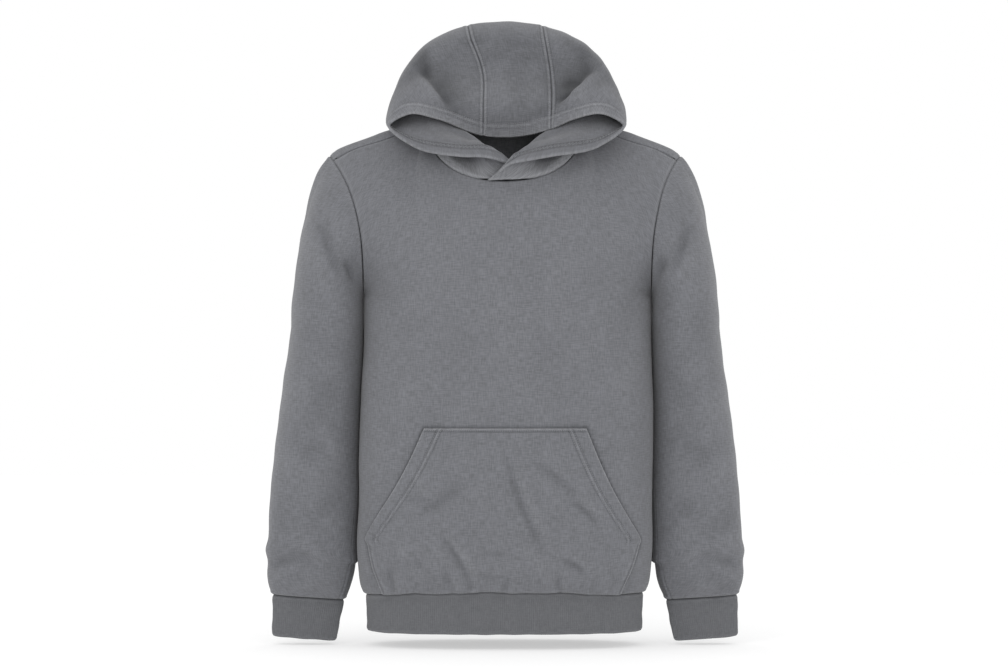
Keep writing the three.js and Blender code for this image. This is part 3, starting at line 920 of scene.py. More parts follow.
def seam_wear_and_shading(distance: Array) -> Array:
    """How the colour changes beside a seam: the roll beside it wears paler, and its dip is painted darker,
    partly dye that stays there and partly painted shade.
    """
    return 0.3 * bell(distance - 3.0, 1.4) - 0.35 * bell(distance, 0.9)


def armpit_fill(z: Array) -> Array:
    """The lift of the cloth round an armpit, where the sleeve and the body press on each other."""
    return 1.9 * bell(z + 237, 22)


# Meshes and stitches


def new_object(
    name: str, verts: Array, faces: list, uv: Array | None = None, fade: Array | None = None
) -> bpy.types.Object:
    """Makes a smooth mesh object from points in mm.

    Args:
        name: The object's name.
        verts: Vertices in mm.
        faces: Corner lists of the faces.
        uv: Pattern place of each face corner, in the faces' order.
        fade: Colour shift at each vertex, for wear and for painted light and shade.

    Returns:
        The object, linked to the scene.
    """
    mesh = bpy.data.meshes.new(name)
    mesh.from_pydata((verts * MM).tolist(), [], faces)
    mesh.polygons.foreach_set("use_smooth", np.ones(len(mesh.polygons), bool))
    if uv is not None:
        mesh.uv_layers.new(name="cloth").uv.foreach_set("vector", uv.astype(np.float32).ravel())
    if fade is not None:
        layer = mesh.attributes.new("fade", "FLOAT", "POINT")
        layer.data.foreach_set("value", fade.astype(np.float32))
    mesh.update()
    made = bpy.data.objects.new(name, mesh)
    bpy.context.scene.collection.objects.link(made)
    return made


def cloth_object(name: str, cloth: Weave) -> bpy.types.Object:
    """Makes the closed shell of a cloth grid into an object.

    Args:
        name: The object's name.
        cloth: The grid.

    Returns:
        The object.
    """
    verts, corners, uv, fade = cloth.shell()
    whole = corners[:, 2] != corners[:, 3]
    faces = [row if ok else row[:3] for row, ok in zip(corners.tolist(), whole.tolist(), strict=True)]
    keep = np.ones(corners.shape, bool)
    keep[~whole, 3] = False
    turned_tri = ~whole & (corners[:, 0] == corners[:, 1])
    if turned_tri.any():
        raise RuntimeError(f"{name} has a face with a repeated first corner")
    return new_object(name, verts, faces, uv[keep], fade)


@dataclass
class Thread:
    """Stitches of one sub-assembly, as grains lying on the cloth."""

    half_width: float = 0.42
    height: float = 0.5
    verts: list[Array] = field(default_factory=list)
    faces: list[list[int]] = field(default_factory=list)

    def stitch(self, a: Array, b: Array, normal: Array) -> None:
        """Adds one stitch between two points of the cloth.

        Args:
            a: Where the thread comes out, in mm.
            b: Where it goes in.
            normal: Outward normal of the cloth.
        """
        along = b - a
        side = np.cross(along, normal)
        side *= self.half_width / max(float(np.linalg.norm(side)), 1e-9)
        up = normal * self.height
        sunk = -normal * 0.15
        quarter, rest = a + along * 0.22, a + along * 0.78
        n = sum(len(v) for v in self.verts)
        ring = [q + o for q in (quarter, rest) for o in (side, up, -side, -up * 0.3)]
        self.verts.append(np.array([a + sunk, *ring, b + sunk]))
        for k in range(4):
            j = (k + 1) % 4
            near, far = (n + 1 + k, n + 1 + j), (n + 5 + k, n + 5 + j)
            self.faces += [[n, near[1], near[0]], [*near, far[1], far[0]], [n + 9, *far]]

    def row(self, line: tuple[Array, Array], pitch: float = 3.1, share: float = 0.8) -> None:
        """Adds a row of lockstitches along a line on the cloth.

        Args:
            line: The line's points and normals.
            pitch: From one stitch to the next, in mm.
            share: The part of the pitch that each stitch covers.
        """
        points, normals = self.evenly(line, pitch)
        for k in range(len(points) - 1):
            gap = (1 - share) / 2
            d = points[k + 1] - points[k]
            self.stitch(points[k] + d * gap, points[k + 1] - d * gap, normals[k])

    def zigzag(self, line: tuple[Array, Array], other: tuple[Array, Array], pitch: float = 2.6) -> None:
        """Adds a looper thread that crosses between two lines.

        Args:
            line: One line's points and normals.
            other: The other line's.
            pitch: From one crossing to the next, in mm.
        """
        (p, n), (q, _) = self.evenly(line, pitch), self.evenly(other, pitch)
        for k in range(min(len(p), len(q)) - 1):
            ends = (p[k], q[k + 1]) if k % 2 else (q[k], p[k + 1])
            self.stitch(*ends, n[k])

    def bartack(self, centre: Array, along: Array, across: Array, long: float = 11.0) -> None:
        """Adds a dense tack of crossing stitches.

        Args:
            centre: Its centre on the cloth.
            along: Unit vector along it.
            across: Unit vector across it, in the cloth.
            long: Its length in mm.
        """
        normal = np.cross(across, along)
        normal *= -np.sign(normal[1]) if abs(normal[1]) > 1e-6 else 1
        for k in range(int(long / 0.9)):
            at = centre + along * (k * 0.9 - long / 2) + normal * 0.2
            self.stitch(at - across * 1.3, at + across * 1.3 + along * 0.45, normal)

    @staticmethod
    def evenly(line: tuple[Array, Array], pitch: float) -> tuple[Array, Array]:
        """The line again, with points a pitch apart.

        Args:
            line: The line's points and normals.
            pitch: From one point to the next, in mm.

        Returns:
            The new points and their unit normals.
        """
        points, normals = line
        walked = np.concatenate([[0], np.cumsum(np.linalg.norm(np.diff(points, axis=0), axis=1))])
        at = np.arange(0, walked[-1], pitch)
        even = [np.stack([np.interp(at, walked, a[:, k]) for k in range(3)], 1) for a in (points, normals)]
        length = np.linalg.norm(even[1], axis=1, keepdims=True)
        return even[0], even[1] / np.maximum(length, 1e-9)

    def build(self, name: str) -> bpy.types.Object:
        """Makes the stitches into one object.

        Args:
            name: The object's name.

        Returns:
            The object.
        """
        made = new_object(name, np.concatenate(self.verts), self.faces)
        made.data.materials.append(Material.THREAD.get())
        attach(made, "root")
        return made


# Finishes


def linear(code: str) -> tuple[float, float, float, float]:
    """The linear colour of an sRGB hex value such as 7a7b7d."""
    parts = [int(code[k : k + 2], 16) / 255 for k in (0, 2, 4)]
    return (*(p / 12.92 if p <= 0.04045 else ((p + 0.055) / 1.055) ** 2.4 for p in parts), 1.0)


def add_node(
    tree: bpy.types.NodeTree, kind: str, inputs: dict | None = None, **settings: object
) -> bpy.types.Node:
    """Adds a node with its settings, values and links.

    Args:
        tree: The material's node tree.
        kind: The node's type name.
        inputs: Value or socket for each input, by the input's name or number.
        settings: The node's own settings.

    Returns:
        The node.
    """
    made = tree.nodes.new(kind)
    for name, value in settings.items():
        setattr(made, name, value)
    for name, value in (inputs or {}).items():
        if isinstance(value, bpy.types.NodeSocket):
            tree.links.new(value, made.inputs[name])
        else:
            made.inputs[name].default_value = value
    return made


def finish_material(name: str, dress: Callable[[bpy.types.NodeTree], dict]) -> bpy.types.Material:
    """Makes a material of one surface.

    Args:
        name: The material's name.
        dress: Adds the finish's own nodes to a tree and gives the surface's inputs.

    Returns:
        The material.
    """
    made = bpy.data.materials.new(name)
    made.use_nodes = True
    tree = made.node_tree
    tree.nodes.clear()
    surface = add_node(tree, "ShaderNodeBsdfPrincipled", dress(tree))
    add_node(tree, "ShaderNodeOutputMaterial", {"Surface": surface.outputs[0]})
    return made


@dataclass(frozen=True)
class KnitFinish:
    """Cotton knit: brushed fleece or rib, dyed in the piece and washed, matt with a soft nap."""

    name: str
    dye: str  # the usual colour
    washed: str  # where the wash took dye off
    worn_and_lit: str  # on seam edges and rims rubbed by wear, and as painted light on ridges, folds and insides
    dye_and_shade: str  # in seam dips, partly dye that stays there, and as painted shade in troughs, recesses and hollows
    wale_mm: float  # spacing of the knit's columns, drawn about twice as coarse as real, so that it shows
    course_mm: float  # spacing of its rows, likewise
    patch_mm: float = 26.0  # size of the cloudy patches that the wash leaves
    patchy: float = 0.3  # their strength beside the knit's own streaks
    nap: float = 0.18
    bump: float = 0.35
    bump_m: float = 0.0006  # depth of the knit's furrows in metres

    def dress(self, tree: bpy.types.NodeTree) -> dict:
        """Adds the knit, the wash, the wear, and the painted light and shade that the colour shift carries.

        Args:
            tree: The material's node tree.

        Returns:
            The surface's inputs.
        """
        place = add_node(tree, "ShaderNodeUVMap", uv_map="cloth").outputs["UV"]
        streaks = []
        for across, along in ((self.wale_mm, self.wale_mm * 7), (self.course_mm * 9, self.course_mm)):
            inputs = {0: place, 1: (1000 / across, 1000 / along, 1.0)}
            stretched = add_node(tree, "ShaderNodeVectorMath", inputs, operation="MULTIPLY").outputs[0]
            inputs = {"Vector": stretched, "Scale": 1.0, "Detail": 1.0}
            noise = add_node(tree, "ShaderNodeTexNoise", inputs, noise_dimensions="2D")
            streaks.append(noise.outputs["Fac"])
        knit = add_node(tree, "ShaderNodeMath", {0: streaks[0], 1: streaks[1]}, operation="ADD").outputs[0]
        inputs = {"Vector": place, "Scale": 1000 / self.patch_mm, "Detail": 5.0, "Roughness": 0.62}
        cloud = add_node(tree, "ShaderNodeTexNoise", inputs, noise_dimensions="2D").outputs["Fac"]
        inputs = {0: cloud, 1: self.patchy, 2: knit}
        mottle = add_node(tree, "ShaderNodeMath", inputs, operation="MULTIPLY_ADD").outputs[0]
        middle = 1 + 0.5 * self.patchy
        inputs = {"Value": mottle, "From Min": middle - 0.36, "From Max": middle + 0.36}
        lighter = add_node(tree, "ShaderNodeMapRange", inputs).outputs[0]
        # Above 0 the colour shift takes the paler colour in streaks, as the knit does: seam rolls and
        # rims that wear, and painted light on ridges, folds and insides. Below 0 it takes the darker
        # colour: dye that stays in seam dips, and painted shade in troughs, recesses and hollows
        fade = add_node(tree, "ShaderNodeAttribute", attribute_name="fade").outputs["Fac"]
        inputs = {"Value": fade, "From Max": 1.0, "To Max": 0.6}
        raised = add_node(tree, "ShaderNodeMapRange", inputs).outputs[0]
        inputs = {"Value": knit, "From Min": 0.75, "From Max": 1.25, "To Min": 0.55, "To Max": 1.3}
        rough = add_node(tree, "ShaderNodeMapRange", inputs).outputs[0]
        inputs = {0: raised, 1: rough}
        wear_and_light = add_node(tree, "ShaderNodeMath", inputs, operation="MULTIPLY", use_clamp=True).outputs[0]
        inputs = {"Value": fade, "From Min": 0.0, "From Max": -1.0, "To Max": 0.85}
        kept = add_node(tree, "ShaderNodeMapRange", inputs).outputs[0]
        cloth: object = linear(self.dye)
        for share, colour in ((lighter, self.washed), (wear_and_light, self.worn_and_lit), (kept, self.dye_and_shade)):
            inputs = {0: share, 6: cloth, 7: linear(colour)}
            cloth = add_node(tree, "ShaderNodeMix", inputs, data_type="RGBA").outputs[2]
        inputs = {"Height": knit, "Strength": self.bump, "Distance": self.bump_m}
        return {
            "Base Color": cloth,
            "Normal": add_node(tree, "ShaderNodeBump", inputs).outputs["Normal"],
            "Roughness": 0.96,
            "Specular IOR Level": 0.2,
            "Sheen Weight": self.nap,
            "Sheen Roughness": 0.55,
        }


@dataclass(frozen=True)
class ThreadFinish:
    """Spun polyester sewing thread, a shade lighter than the washed cloth, with a slight gloss."""

    name: str = "spun polyester thread"
    colour: str = "86878a"
    shaded: str = "77787b"
    lay_mm: float = 5 / 3  # pace of its light and dark, coarser than the real twist, so that it shows

    def dress(self, tree: bpy.types.NodeTree) -> dict:
        """Adds the thread's uneven colour.

        Args:
            tree: The material's node tree.

        Returns:
            The surface's inputs.
        """
        at = add_node(tree, "ShaderNodeTexCoord").outputs["Object"]
        inputs = {"Vector": at, "Scale": 1000 / self.lay_mm, "Detail": 2.0}
        uneven = add_node(tree, "ShaderNodeTexNoise", inputs).outputs["Fac"]
        inputs = {0: uneven, 6: linear(self.shaded), 7: linear(self.colour)}
        colour = add_node(tree, "ShaderNodeMix", inputs, data_type="RGBA").outputs[2]
        return {"Base Color": colour, "Roughness": 0.7, "Specular IOR Level": 0.35}


@dataclass(frozen=True)
class TableFinish:
    """The studio's table top: matt white acrylic lit from below, so that shadows on it stay pale."""

    name: str = "opal acrylic table, lit from below"
    colour: str = "c3c3c3"
    glow: float = 0.5

    def dress(self, tree: bpy.types.NodeTree) -> dict:
        """The surface's inputs. The table needs no nodes of its own in the tree."""
        return {
            "Base Color": linear(self.colour),
            "Roughness": 1.0,
            "Specular IOR Level": 0.0,
            "Emission Color": linear("ffffff"),
            "Emission Strength": self.glow,
        }


class Material(Enum):
    """The finishes of the garment and its stage."""

    # Brushed inside and washed in the piece: a dry, matt grey with fine streaks along the knit, a nap
    # that lightens where the cloth turns away, seam rolls rubbed pale by wear, and dark grooves beside
    # them, partly dye that stays there and partly painted shade; creases get painted light and shade
    FLEECE = KnitFinish("garment-washed cotton fleece", "606164", "727378", "8d8e91", "303133", 1.6, 1.4)
    # Knitted in ribs and washed with the fleece: darker and flatter to the eye, with rib crests
    # painted paler and furrows darker, as painted light and shade
    RIB = KnitFinish("cotton rib knit", "5c5d60", "68696c", "7c7d80", "2c2d2f", 1.4, 1.2, bump=0.25)
    # Spun and twisted: short light dashes that catch a little gloss
    THREAD = ThreadFinish()
    # Cast and satin on top: an even white with no gloss, on which shadows stay pale
    TABLE = TableFinish()

    def get(self) -> bpy.types.Material:
        """The finish's material, made the first time it is asked for."""
        return bpy.data.materials.get(self.value.name) or finish_material(self.value.name, self.value.dress)


# Creases, in the view from the front
# Columns: x and z of the start, x and z of the end, bow to the left, width on the left and on the
# right, height (a trough is negative)

BODY_FRONT_CREASES = (
    (-190, -168, -146, -262, 6, 12, 20, -1.6),
    (-178, -205, -140, -300, -8, 16, 12, 1.1),
    (196, -170, 160, -300, -8, 14, 22, -1.6),
    (180, -240, 156, -372, 6, 22, 14, 1.2),
    (-161, -252, -132, -282, 4, 12, 14, -1.2),
    (-120, -110, -70, -240, 14, 26, 30, 0.9),
    (96, -120, 60, -250, -10, 28, 24, 0.8),
    (-60, -250, -96, -380, 8, 20, 26, -1.0),
    (40, -240, 86, -372, -10, 24, 20, -1.0),
    (-10, -200, 8, -380, 8, 34, 28, 0.8),
    (-150, -330, -118, -400, 6, 16, 20, 1.0),
    (128, -340, 150, -408, -6, 18, 14, -0.9),
    (-190, -330, -176, -470, 6, 12, 16, 1.0),
    (192, -360, 186, -500, -6, 14, 12, -1.0),
    (-198, -520, -178, -600, 6, 8, 12, -1.2),
    (196, -560, 176, -612, -6, 9, 12, 1.0),
)
POCKET_CREASES = (
    (0, -438, 52, -570, -9, 7.5, 4.5, -1.9),
    (12, -446, 62, -560, -8, 6, 10, 1),
    (38, -446, 100, -496, 7, 5, 7.5, -1.5),
    (90, -500, 126, -532, 5, 3, 5.5, -1.7),
    (96, -492, 132, -522, 5, 4.5, 4.5, 0.9),
    (-62, -478, -120, -516, 8, 7, 5, -1.3),
    (-137, -496, -98, -499, -2, 3, 4.5, -1),
    (-90, -545, -46, -616, 7, 3.5, 6, -1.9),
    (-78, -548, -36, -612, 7, 5, 5.5, 1.1),
    (78, -580, 110, -602, 5, 3.5, 5.5, -1.8),
    (84, -572, 118, -596, 5, 4.5, 3.5, 0.9),
    (-36, -572, 4, -576, 3, 3.5, 5, -0.9),
    (-42, -603, 0, -607, 3, 3, 4.5, -1),
    (-140, -586, -110, -592, 4, 7.5, 6, -1.3),
    (-150, -560, -120, -600, 6, 6, 7.5, 0.9),
    (20, -560, 60, -606, 6, 7.5, 7.5, 0.8),
    (-130, -452, -106, -500, 4, 5.5, 5.5, 0.8),
)
PUCKER_FOOT_Z = HEM_SEAM_Z - 3
# Where the panels are eased into the hem rib: x at the seam, x at the top, height reached, width, lift
HEM_PUCKERS = (
    (-180, -182, 22, 5, -1.2), (-153, -158, 38, 5, -2.2), (-144, -150, 26, 4, 1.3), (-122, -120, 16, 4, -1.0),
    (-102, -106, 24, 5, -1.0), (-71, -84, 34, 5, -2.0), (-60, -70, 24, 4, 1.2), (-50, -46, 18, 4, -1.6),
    (-34, -30, 14, 4, -0.9), (-2, 6, 24, 5, -2.1), (10, 14, 16, 4, 1.0), (28, 30, 14, 4, -0.8),
    (49, 46, 20, 5, -1.0), (76, 73, 26, 3.4, -2.3), (83, 82, 20, 3.4, 1.1), (104, 110, 18, 4, -0.9),
    (124, 120, 22, 5, -1.3), (146, 150, 26, 5, -1.1), (170, 176, 22, 5, -1.3),
)  # fmt: skip
BODY_BACK_CREASES = (
    (-186, -160, -130, -250, 10, 14, 24, -1.8),
    (188, -165, 138, -268, -10, 22, 14, -1.8),
    (-150, -140, -90, -230, 12, 22, 26, 1.2),
    (132, -150, 84, -260, -12, 26, 20, 1.1),
    (-110, -420, 20, -452, 16, 20, 28, -1.6),
    (30, -470, 150, -440, 12, 26, 18, -1.6),
    (-60, -510, 90, -528, -12, 18, 24, 1.3),
    (-160, -500, -70, -560, 12, 16, 22, -1.5),
    (70, -560, 168, -520, 10, 20, 14, 1.2),
    (-20, -90, 6, -300, 14, 30, 34, 0.9),
    (-184, -330, -150, -470, 8, 12, 18, 1.3),
    (184, -350, 158, -500, -8, 18, 12, -1.4),
    (-40, -560, -90, -612, 8, 10, 12, -1.4),
    (60, -575, 96, -612, 6, 9, 12, 1.1),
)
SLEEVE_FRONT_CREASES = (  # x is measured outward, so they serve the left sleeve and, mirrored, the right one
    (256, -118, 226, -193, 8, 4.5, 13, -3.6),
    (270, -128, 240, -206, 8, 12, 8, 1.4),
    (222, -168, 206, -204, -3, 5, 9, -4.6),
    (290, -250, 250, -300, 6, 18, 22, -1.2),
    (232, -330, 268, -388, 6, 12, 18, -1.6),
    (316, -352, 274, -384, 5, 14, 18, 1.1),
    (240, -420, 286, -452, 6, 14, 18, -1.4),
    (322, -440, 280, -478, 6, 12, 20, 1.2),
    (236, -500, 270, -540, 5, 12, 14, -1.5),
    (328, -508, 290, -552, 8, 12, 16, -1.3),
    (330, -598, 296, -587, -4, 6, 8, -2.2),
    (326, -612, 288, -600, -4, 6, 7, 1.5),
    (306, -606, 276, -614, -3, 5, 7, -1.7),
    (300, -574, 262, -590, 5, 8, 11, -1.6),
    (268, -566, 240, -600, 4, 8, 9, 1.3),
    (288, -626, 262, -618, 3, 5, 6, 1.4),
    (318, -628, 300, -620, 3, 5, 6, -1.2),
)
SLEEVE_BACK_CREASES = (
    (264, -120, 228, -200, 8, 10, 18, -2.2),
    (282, -180, 246, -262, 8, 18, 22, 1.2),
    (236, -330, 300, -366, 10, 12, 20, -2.4),
    (240, -362, 304, -402, 10, 10, 16, 1.6),
    (238, -398, 296, -436, 8, 10, 18, -2.0),
    (300, -470, 262, -520, 8, 14, 18, -1.5),
    (326, -556, 280, -576, 5, 8, 12, -1.9),
    (316, -590, 262, -600, 4, 7, 10, -1.8),
    (300, -612, 256, -618, 3, 5, 8, 1.5),
)
HOOD_FRONT_CREASES = (
    (-120, 96, -76, 40, 7, 26, 4, -7.5),
    (-128, 96, -88, 38, 7, 8, 10, 2.2),
    (126, 98, 70, 46, -7, 4, 26, -7.5),
    (134, 94, 82, 42, -7, 10, 8, 2.2),
    (-114, 126, -106, 82, -3, 8, 16, -2.8),
    (80, 140, 116, 110, 6, 6, 14, -2.8),
    (76, 80, 110, 76, 3, 6, 9, -2.8),
    (70, 48, 92, 66, 3, 5, 8, -3.6),
    (-76, 128, -18, 134, 6, 12, 6, -2.4),
    (0, 132, 52, 128, 4, 12, 6, -1.8),
    (-90, 60, -66, 26, 5, 8, 10, -1.6),
    (-20, 100, -14, 30, 4, 14, 18, 1.3),
    (24, 96, 20, 36, -4, 14, 12, -1.2),
    (56, 66, 46, 30, 3, 8, 8, -1.3),
    (100, 60, 118, 40, 3, 8, 8, 1.2),
)
HOOD_BACK_CREASES = (
    (-90, 60, 20, 92, 14, 14, 24, -3.2),
    (24, 96, 104, 56, 12, 20, 12, -2.8),
    (-60, 120, 60, 124, 10, 16, 22, 2.0),
    (-30, 56, 66, 58, -10, 12, 16, -2.6),
    (-100, 96, -60, 134, 8, 12, 14, -1.8),
    (70, 134, 106, 92, 8, 12, 14, 1.8),
)


# Sub-assemblies


@dataclass
class ClothPiece:
    """One cut piece of cloth, which stands for the solid of its name."""

    node: str
    finish: Material
    flat: tuple[float, float]  # width and length of the cut in metres
    area: float  # its area in square metres
    held: str
    rests_on: tuple[str, ...]

    def dress(self, cloth: Weave, extras: tuple[bpy.types.Object, ...] = ()) -> bpy.types.Object:
        """Args:
            cloth: The piece's grid.
            extras: Its stitches and other small pieces on it.

        Returns:
            The object.
        """
        made = cloth_object(self.node + "_cloth", cloth)
        made.data.materials.append(self.finish.get())
        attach(made, "root")
        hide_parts(self.node)
        list(extras)
        across, along = np.diff(cloth.points, axis=1)[:-1], np.diff(cloth.points, axis=0)[:, :-1]
        area = np.linalg.norm(np.cross(across, along), axis=2).sum() * MM**2
        log.info("%s: %d faces, %.4f m2", made.name, len(made.data.polygons), area)
        return made


def even_columns(path: Array, samples: Array, count: int, low: tuple = (), high: tuple = ()) -> Array:
    """Parameter values evenly spaced along a path and closer together at its ends.

    Args:
        path: Points of the path at the samples.
        samples: Parameter values.
        count: Steps in the even part.
        low: Distances from the start, in mm, that get a value of their own.
        high: Distances from the end, likewise.

    Returns:
        The parameter values.
    """
    pieces = np.linalg.norm(np.diff(path, axis=0), axis=1)
    long = float(pieces.sum())
    walked = np.concatenate([[0], np.cumsum(pieces)])
    return np.interp(steps_across(long, count, low, high) * long, walked, samples)


def front_relief(x: Array, z: Array) -> Array:
    """Lift of the front that the pocket on it shares.

    Args:
        x: Places across.
        z: Heights.

    Returns:
        The lift at each point, in mm.
    """
    lift = 0.6 * creases(BODY_FRONT_CREASES, x, z) + 0.35 * unevenness(x, z, 95, 0.4)
    rows = tuple(
        (x0, PUCKER_FOOT_Z, x1, HEM_SEAM_Z + high, 2, wide, wide, deep)
        for x0, x1, high, wide, deep in HEM_PUCKERS
    )
    return lift + 1.1 * creases(rows, x, z)


@dataclass
class BodyPanel:
    """The front or back panel, from the hem seam to the neck and shoulder seams."""

    face: Face
    piece: ClothPiece
    columns: int = 132
    low_rows: int = 96
    high_rows: int = 62
    high_length: float = 205.0  # along the cloth from the chest to the top seams

    def weave(self) -> Weave:
        """Lays out the panel with its seams and creases.

        Returns:
            The panel's grid.
        """
        samples = np.linspace(-1, 1, 4001)
        path = body_surface(self.face, samples, np.full(samples.shape, 0.55))
        us = even_columns(path, samples, self.columns, NEAR_SEAM, NEAR_SEAM)
        corner = 1 - SHOULDERS.neck_turn
        for u in (-corner, corner):  # the neck and shoulder seams meet on a column of their own
            us[np.argmin(np.abs(us - u))] = u
        low = steps_across(CHEST_Z - HEM_SEAM_Z, self.low_rows, NEAR_SEAM)
        high = steps_across(self.high_length, self.high_rows, (), NEAR_SEAM)
        vs = np.concatenate([low[:-1], 1 + high])
        points = body_surface(self.face, *np.meshgrid(us, vs))
        near_hem = 1 - smooth(HEM_SEAM_Z, HEM_SEAM_Z + 70, points[..., 2])
        cloth = Weave(hem_droop(points, near_hem), turned=self.face is Face.BACK)
        side = np.minimum(cloth.reach[Edge.FIRST], cloth.reach[Edge.LAST])
        top, hem = cloth.reach[Edge.HIGH], cloth.reach[Edge.LOW]
        x, z = cloth.points[..., 0], cloth.points[..., 2]
        calm = smooth(0, 14, side) * smooth(0, 10, top)
        if self.face is Face.FRONT:
            relief = front_relief(x, z)
            # Under the pocket the front gives way, and close round the pocket it is in shade
            half = POCKET.at(np.clip(z, POCKET_FOOT_Z, POCKET_TOP_Z))
            inside = np.where(x > 0, half["right"], half["left"]) - np.abs(x)
            under = smooth(6, 34, inside) * smooth(POCKET_TOP_Z, POCKET_TOP_Z - 24, z)
            # The relief is painted darker in its troughs and paler on its ridges, as painted shade and light
            cloth.raise_by(relief * calm * (1 - under), 0.09)
            cloth.raise_by(-3.4 * under)
            beside = bell(POCKET_SLANT * inside + 1.2, 2.2) * smooth(POCKET_TOP_Z + 6, POCKET_TOP_Z - 1, z)
            above = bell(z - POCKET_TOP_Z - 1.5, 2.6) * smooth(-3, 3, inside)
            cloth.fade -= 0.75 * beside + 0.4 * above
        else:
            # The back's puckers stand a little wider than the front's and lean the other way
            rows = tuple(
                (1.04 * x1 - 3, PUCKER_FOOT_Z, 1.04 * x0, HEM_SEAM_Z + high, 2, wide, wide, 0.9 * deep)
                for x0, x1, high, wide, deep in HEM_PUCKERS
            )
            relief = creases(BODY_BACK_CREASES, x, z) + creases(rows, x, z) + 0.8 * unevenness(x, z, 110, 2.2)
            # The relief is painted darker in its troughs and paler on its ridges, as painted shade and light
            cloth.raise_by(1.2 * relief * calm, 0.09)
        cloth.raise_by(seam_roll(side, 0.0, 0.4) + seam_roll(top, 0.3, 0.4) + seam_roll(hem, 1.1, 0.9))
        # Besides the brushed inside's own paler tone, the inside is painted paler as painted light reaching
        # into the garment
        cloth.lining = 0.8  # the brushed inside is paler
        cloth.raise_by(armpit_fill(z) * (1 - smooth(4, 26, side)))
        # The valleys beside the sleeves are in deep shade
        cloth.fade -= 0.45 * (1 - smooth(3, 13, side)) * smooth(-205, -240, z) * smooth(-600, -540, z)
        # The seams' rolls wear paler and their dips are painted darker, partly dye that stays there and
        # partly painted shade
        cloth.fade += seam_wear_and_shading(side) + seam_wear_and_shading(top) + seam_wear_and_shading(hem)
        return cloth

    def build(self) -> None:
        """Makes the panel."""
        self.piece.dress(self.weave())


@dataclass
class KangarooPocket:
    """The pocket laid on the front, hemmed along its two slanted hand openings."""

    piece: ClothPiece
    width: float = 330.0
    columns: int = 150
    low_rows: int = 32
    high_rows: int = 66
    hem: float = 17.0  # depth of the hem along an opening
    twin: float = 5.0  # between the two rows of stitches there
    top_stitch: float = 3.0
    edge_stitch: float = 2.6

    def surface(self, u: Array, z: Array) -> Array:
        """The pocket's outer face before its creases.

        Args:
            u: From -1 to 1 across.
            z: Heights.

        Returns:
            The points.
        """
        row = POCKET.at(z)
        off = SEAM + CLOTH + 0.6 + 0.4 * np.abs(u) ** 3 + 1.2 * row["open"] * smooth(0.6, 1, np.abs(u))
        return front_skin(u * np.where(u < 0, row["left"], row["right"]), z, off)

    def weave(self) -> Weave:
        """Lays out the pocket with its hems and creases.

        Returns:
            The pocket's grid.
        """
        us = 2 * steps_across(self.width, self.columns, NEAR_SEAM, NEAR_SEAM) - 1
        below, above = POCKET_CORNER_Z - POCKET_FOOT_Z, POCKET_TOP_Z - POCKET_CORNER_Z
        low = steps_across(below, self.low_rows, NEAR_SEAM)
        high = steps_across(above, self.high_rows, (), NEAR_SEAM)
        zs = np.concatenate([(POCKET_FOOT_Z + below * low)[:-1], POCKET_CORNER_Z + above * high])
        points = self.surface(*np.meshgrid(us, zs))
        cloth = Weave(hem_droop(points, 1 - smooth(HEM_SEAM_Z, HEM_SEAM_Z + 70, points[..., 2])))
        x, z = cloth.points[..., 0], cloth.points[..., 2]
        side = np.minimum(cloth.reach[Edge.FIRST], cloth.reach[Edge.LAST]) * POCKET_SLANT
        top, bottom = cloth.reach[Edge.HIGH], cloth.reach[Edge.LOW]
        opening = smooth(POCKET_CORNER_Z - 11, POCKET_CORNER_Z - 4, z)
        calm = smooth(2, 20, side) * smooth(2, 16, top)
        # The relief is painted darker in its troughs and paler on its ridges, as painted shade and light
        cloth.raise_by(front_relief(x, z), 0.09)
        cloth.raise_by(creases(POCKET_CREASES, x, z) * calm, 0.2)
        cloth.raise_by(0.4 * unevenness(x, z, 60, 1.1) * calm, 0.05)
        step = 1.1 * (1 - smooth(self.hem - 1, self.hem + 1, side)) * opening
        rows = bell(side - self.hem, 1.3) + 0.9 * bell(side - self.hem - self.twin, 1.3)
        edge = -0.5 * bell(side - self.edge_stitch, 1.1) * (1 - opening)
        edge -= 0.5 * bell(top - self.top_stitch, 1.1) + 0.9 * (bell(side, 0.9) + bell(top, 0.9))
        cloth.raise_by(step - 0.55 * rows * opening + edge + seam_roll(bottom, 1.3, 0.9))
        # The pocket's rims wear paler. Its rows of stitches are painted darker, partly dye that stays in
        # them and partly painted shade in their dips, and the cloth between and beside them paler, as
        # painted light on the ridges
        cloth.fade += bell(side, 1.5) + bell(top, 1.4) + seam_wear_and_shading(bottom)
        pair = bell(side - self.hem, 1.3) + bell(side - self.hem - self.twin - 0.5, 1.3)
        cloth.fade += (0.5 * bell(side - self.hem - 2.8, 1.2) - 0.45 * pair) * opening
        cloth.fade -= 0.5 * bell(top - 4.2, 1.2) + 0.5 * bell(side - 4.0, 1.2) * (1 - opening)
        cloth.fade += 0.3 * bell(side - 7.0, 1.2) * (1 - opening)
        return cloth

    def build(self) -> None:
        """Makes the pocket and its stitches."""
        cloth = self.weave()
        thread = Thread()
        thread.row(cloth.line(Edge.HIGH, self.top_stitch))
        start = float(np.argmax(cloth.points[:, 0, 2] > POCKET_CORNER_Z - 9)) / (len(cloth.points) - 1)
        direction = np.array((1.0, 0.0, 0.15)) / math.hypot(1.0, 0.15)
        # Each side has the twin rows of its opening, a row below it and a tack at the corner
        for edge, rim, tack in ((Edge.FIRST, 0, 9), (Edge.LAST, -1, -10)):
            for distance in (self.hem, self.hem + self.twin):
                thread.row(cloth.line(edge, distance / POCKET_SLANT, start, 1.0))
            thread.row(cloth.line(edge, self.edge_stitch, 0.02, max(0.05, start - 0.05)))
            row = int(np.argmin(np.abs(cloth.points[:, rim, 2] - POCKET_CORNER_Z - 3)))
            across = np.cross(direction, cloth.normals()[row, tack])
            thread.bartack(cloth.points[row, tack], direction, across / np.linalg.norm(across), 7.0)
        self.piece.dress(cloth, (thread.build("pocket_stitches"),))


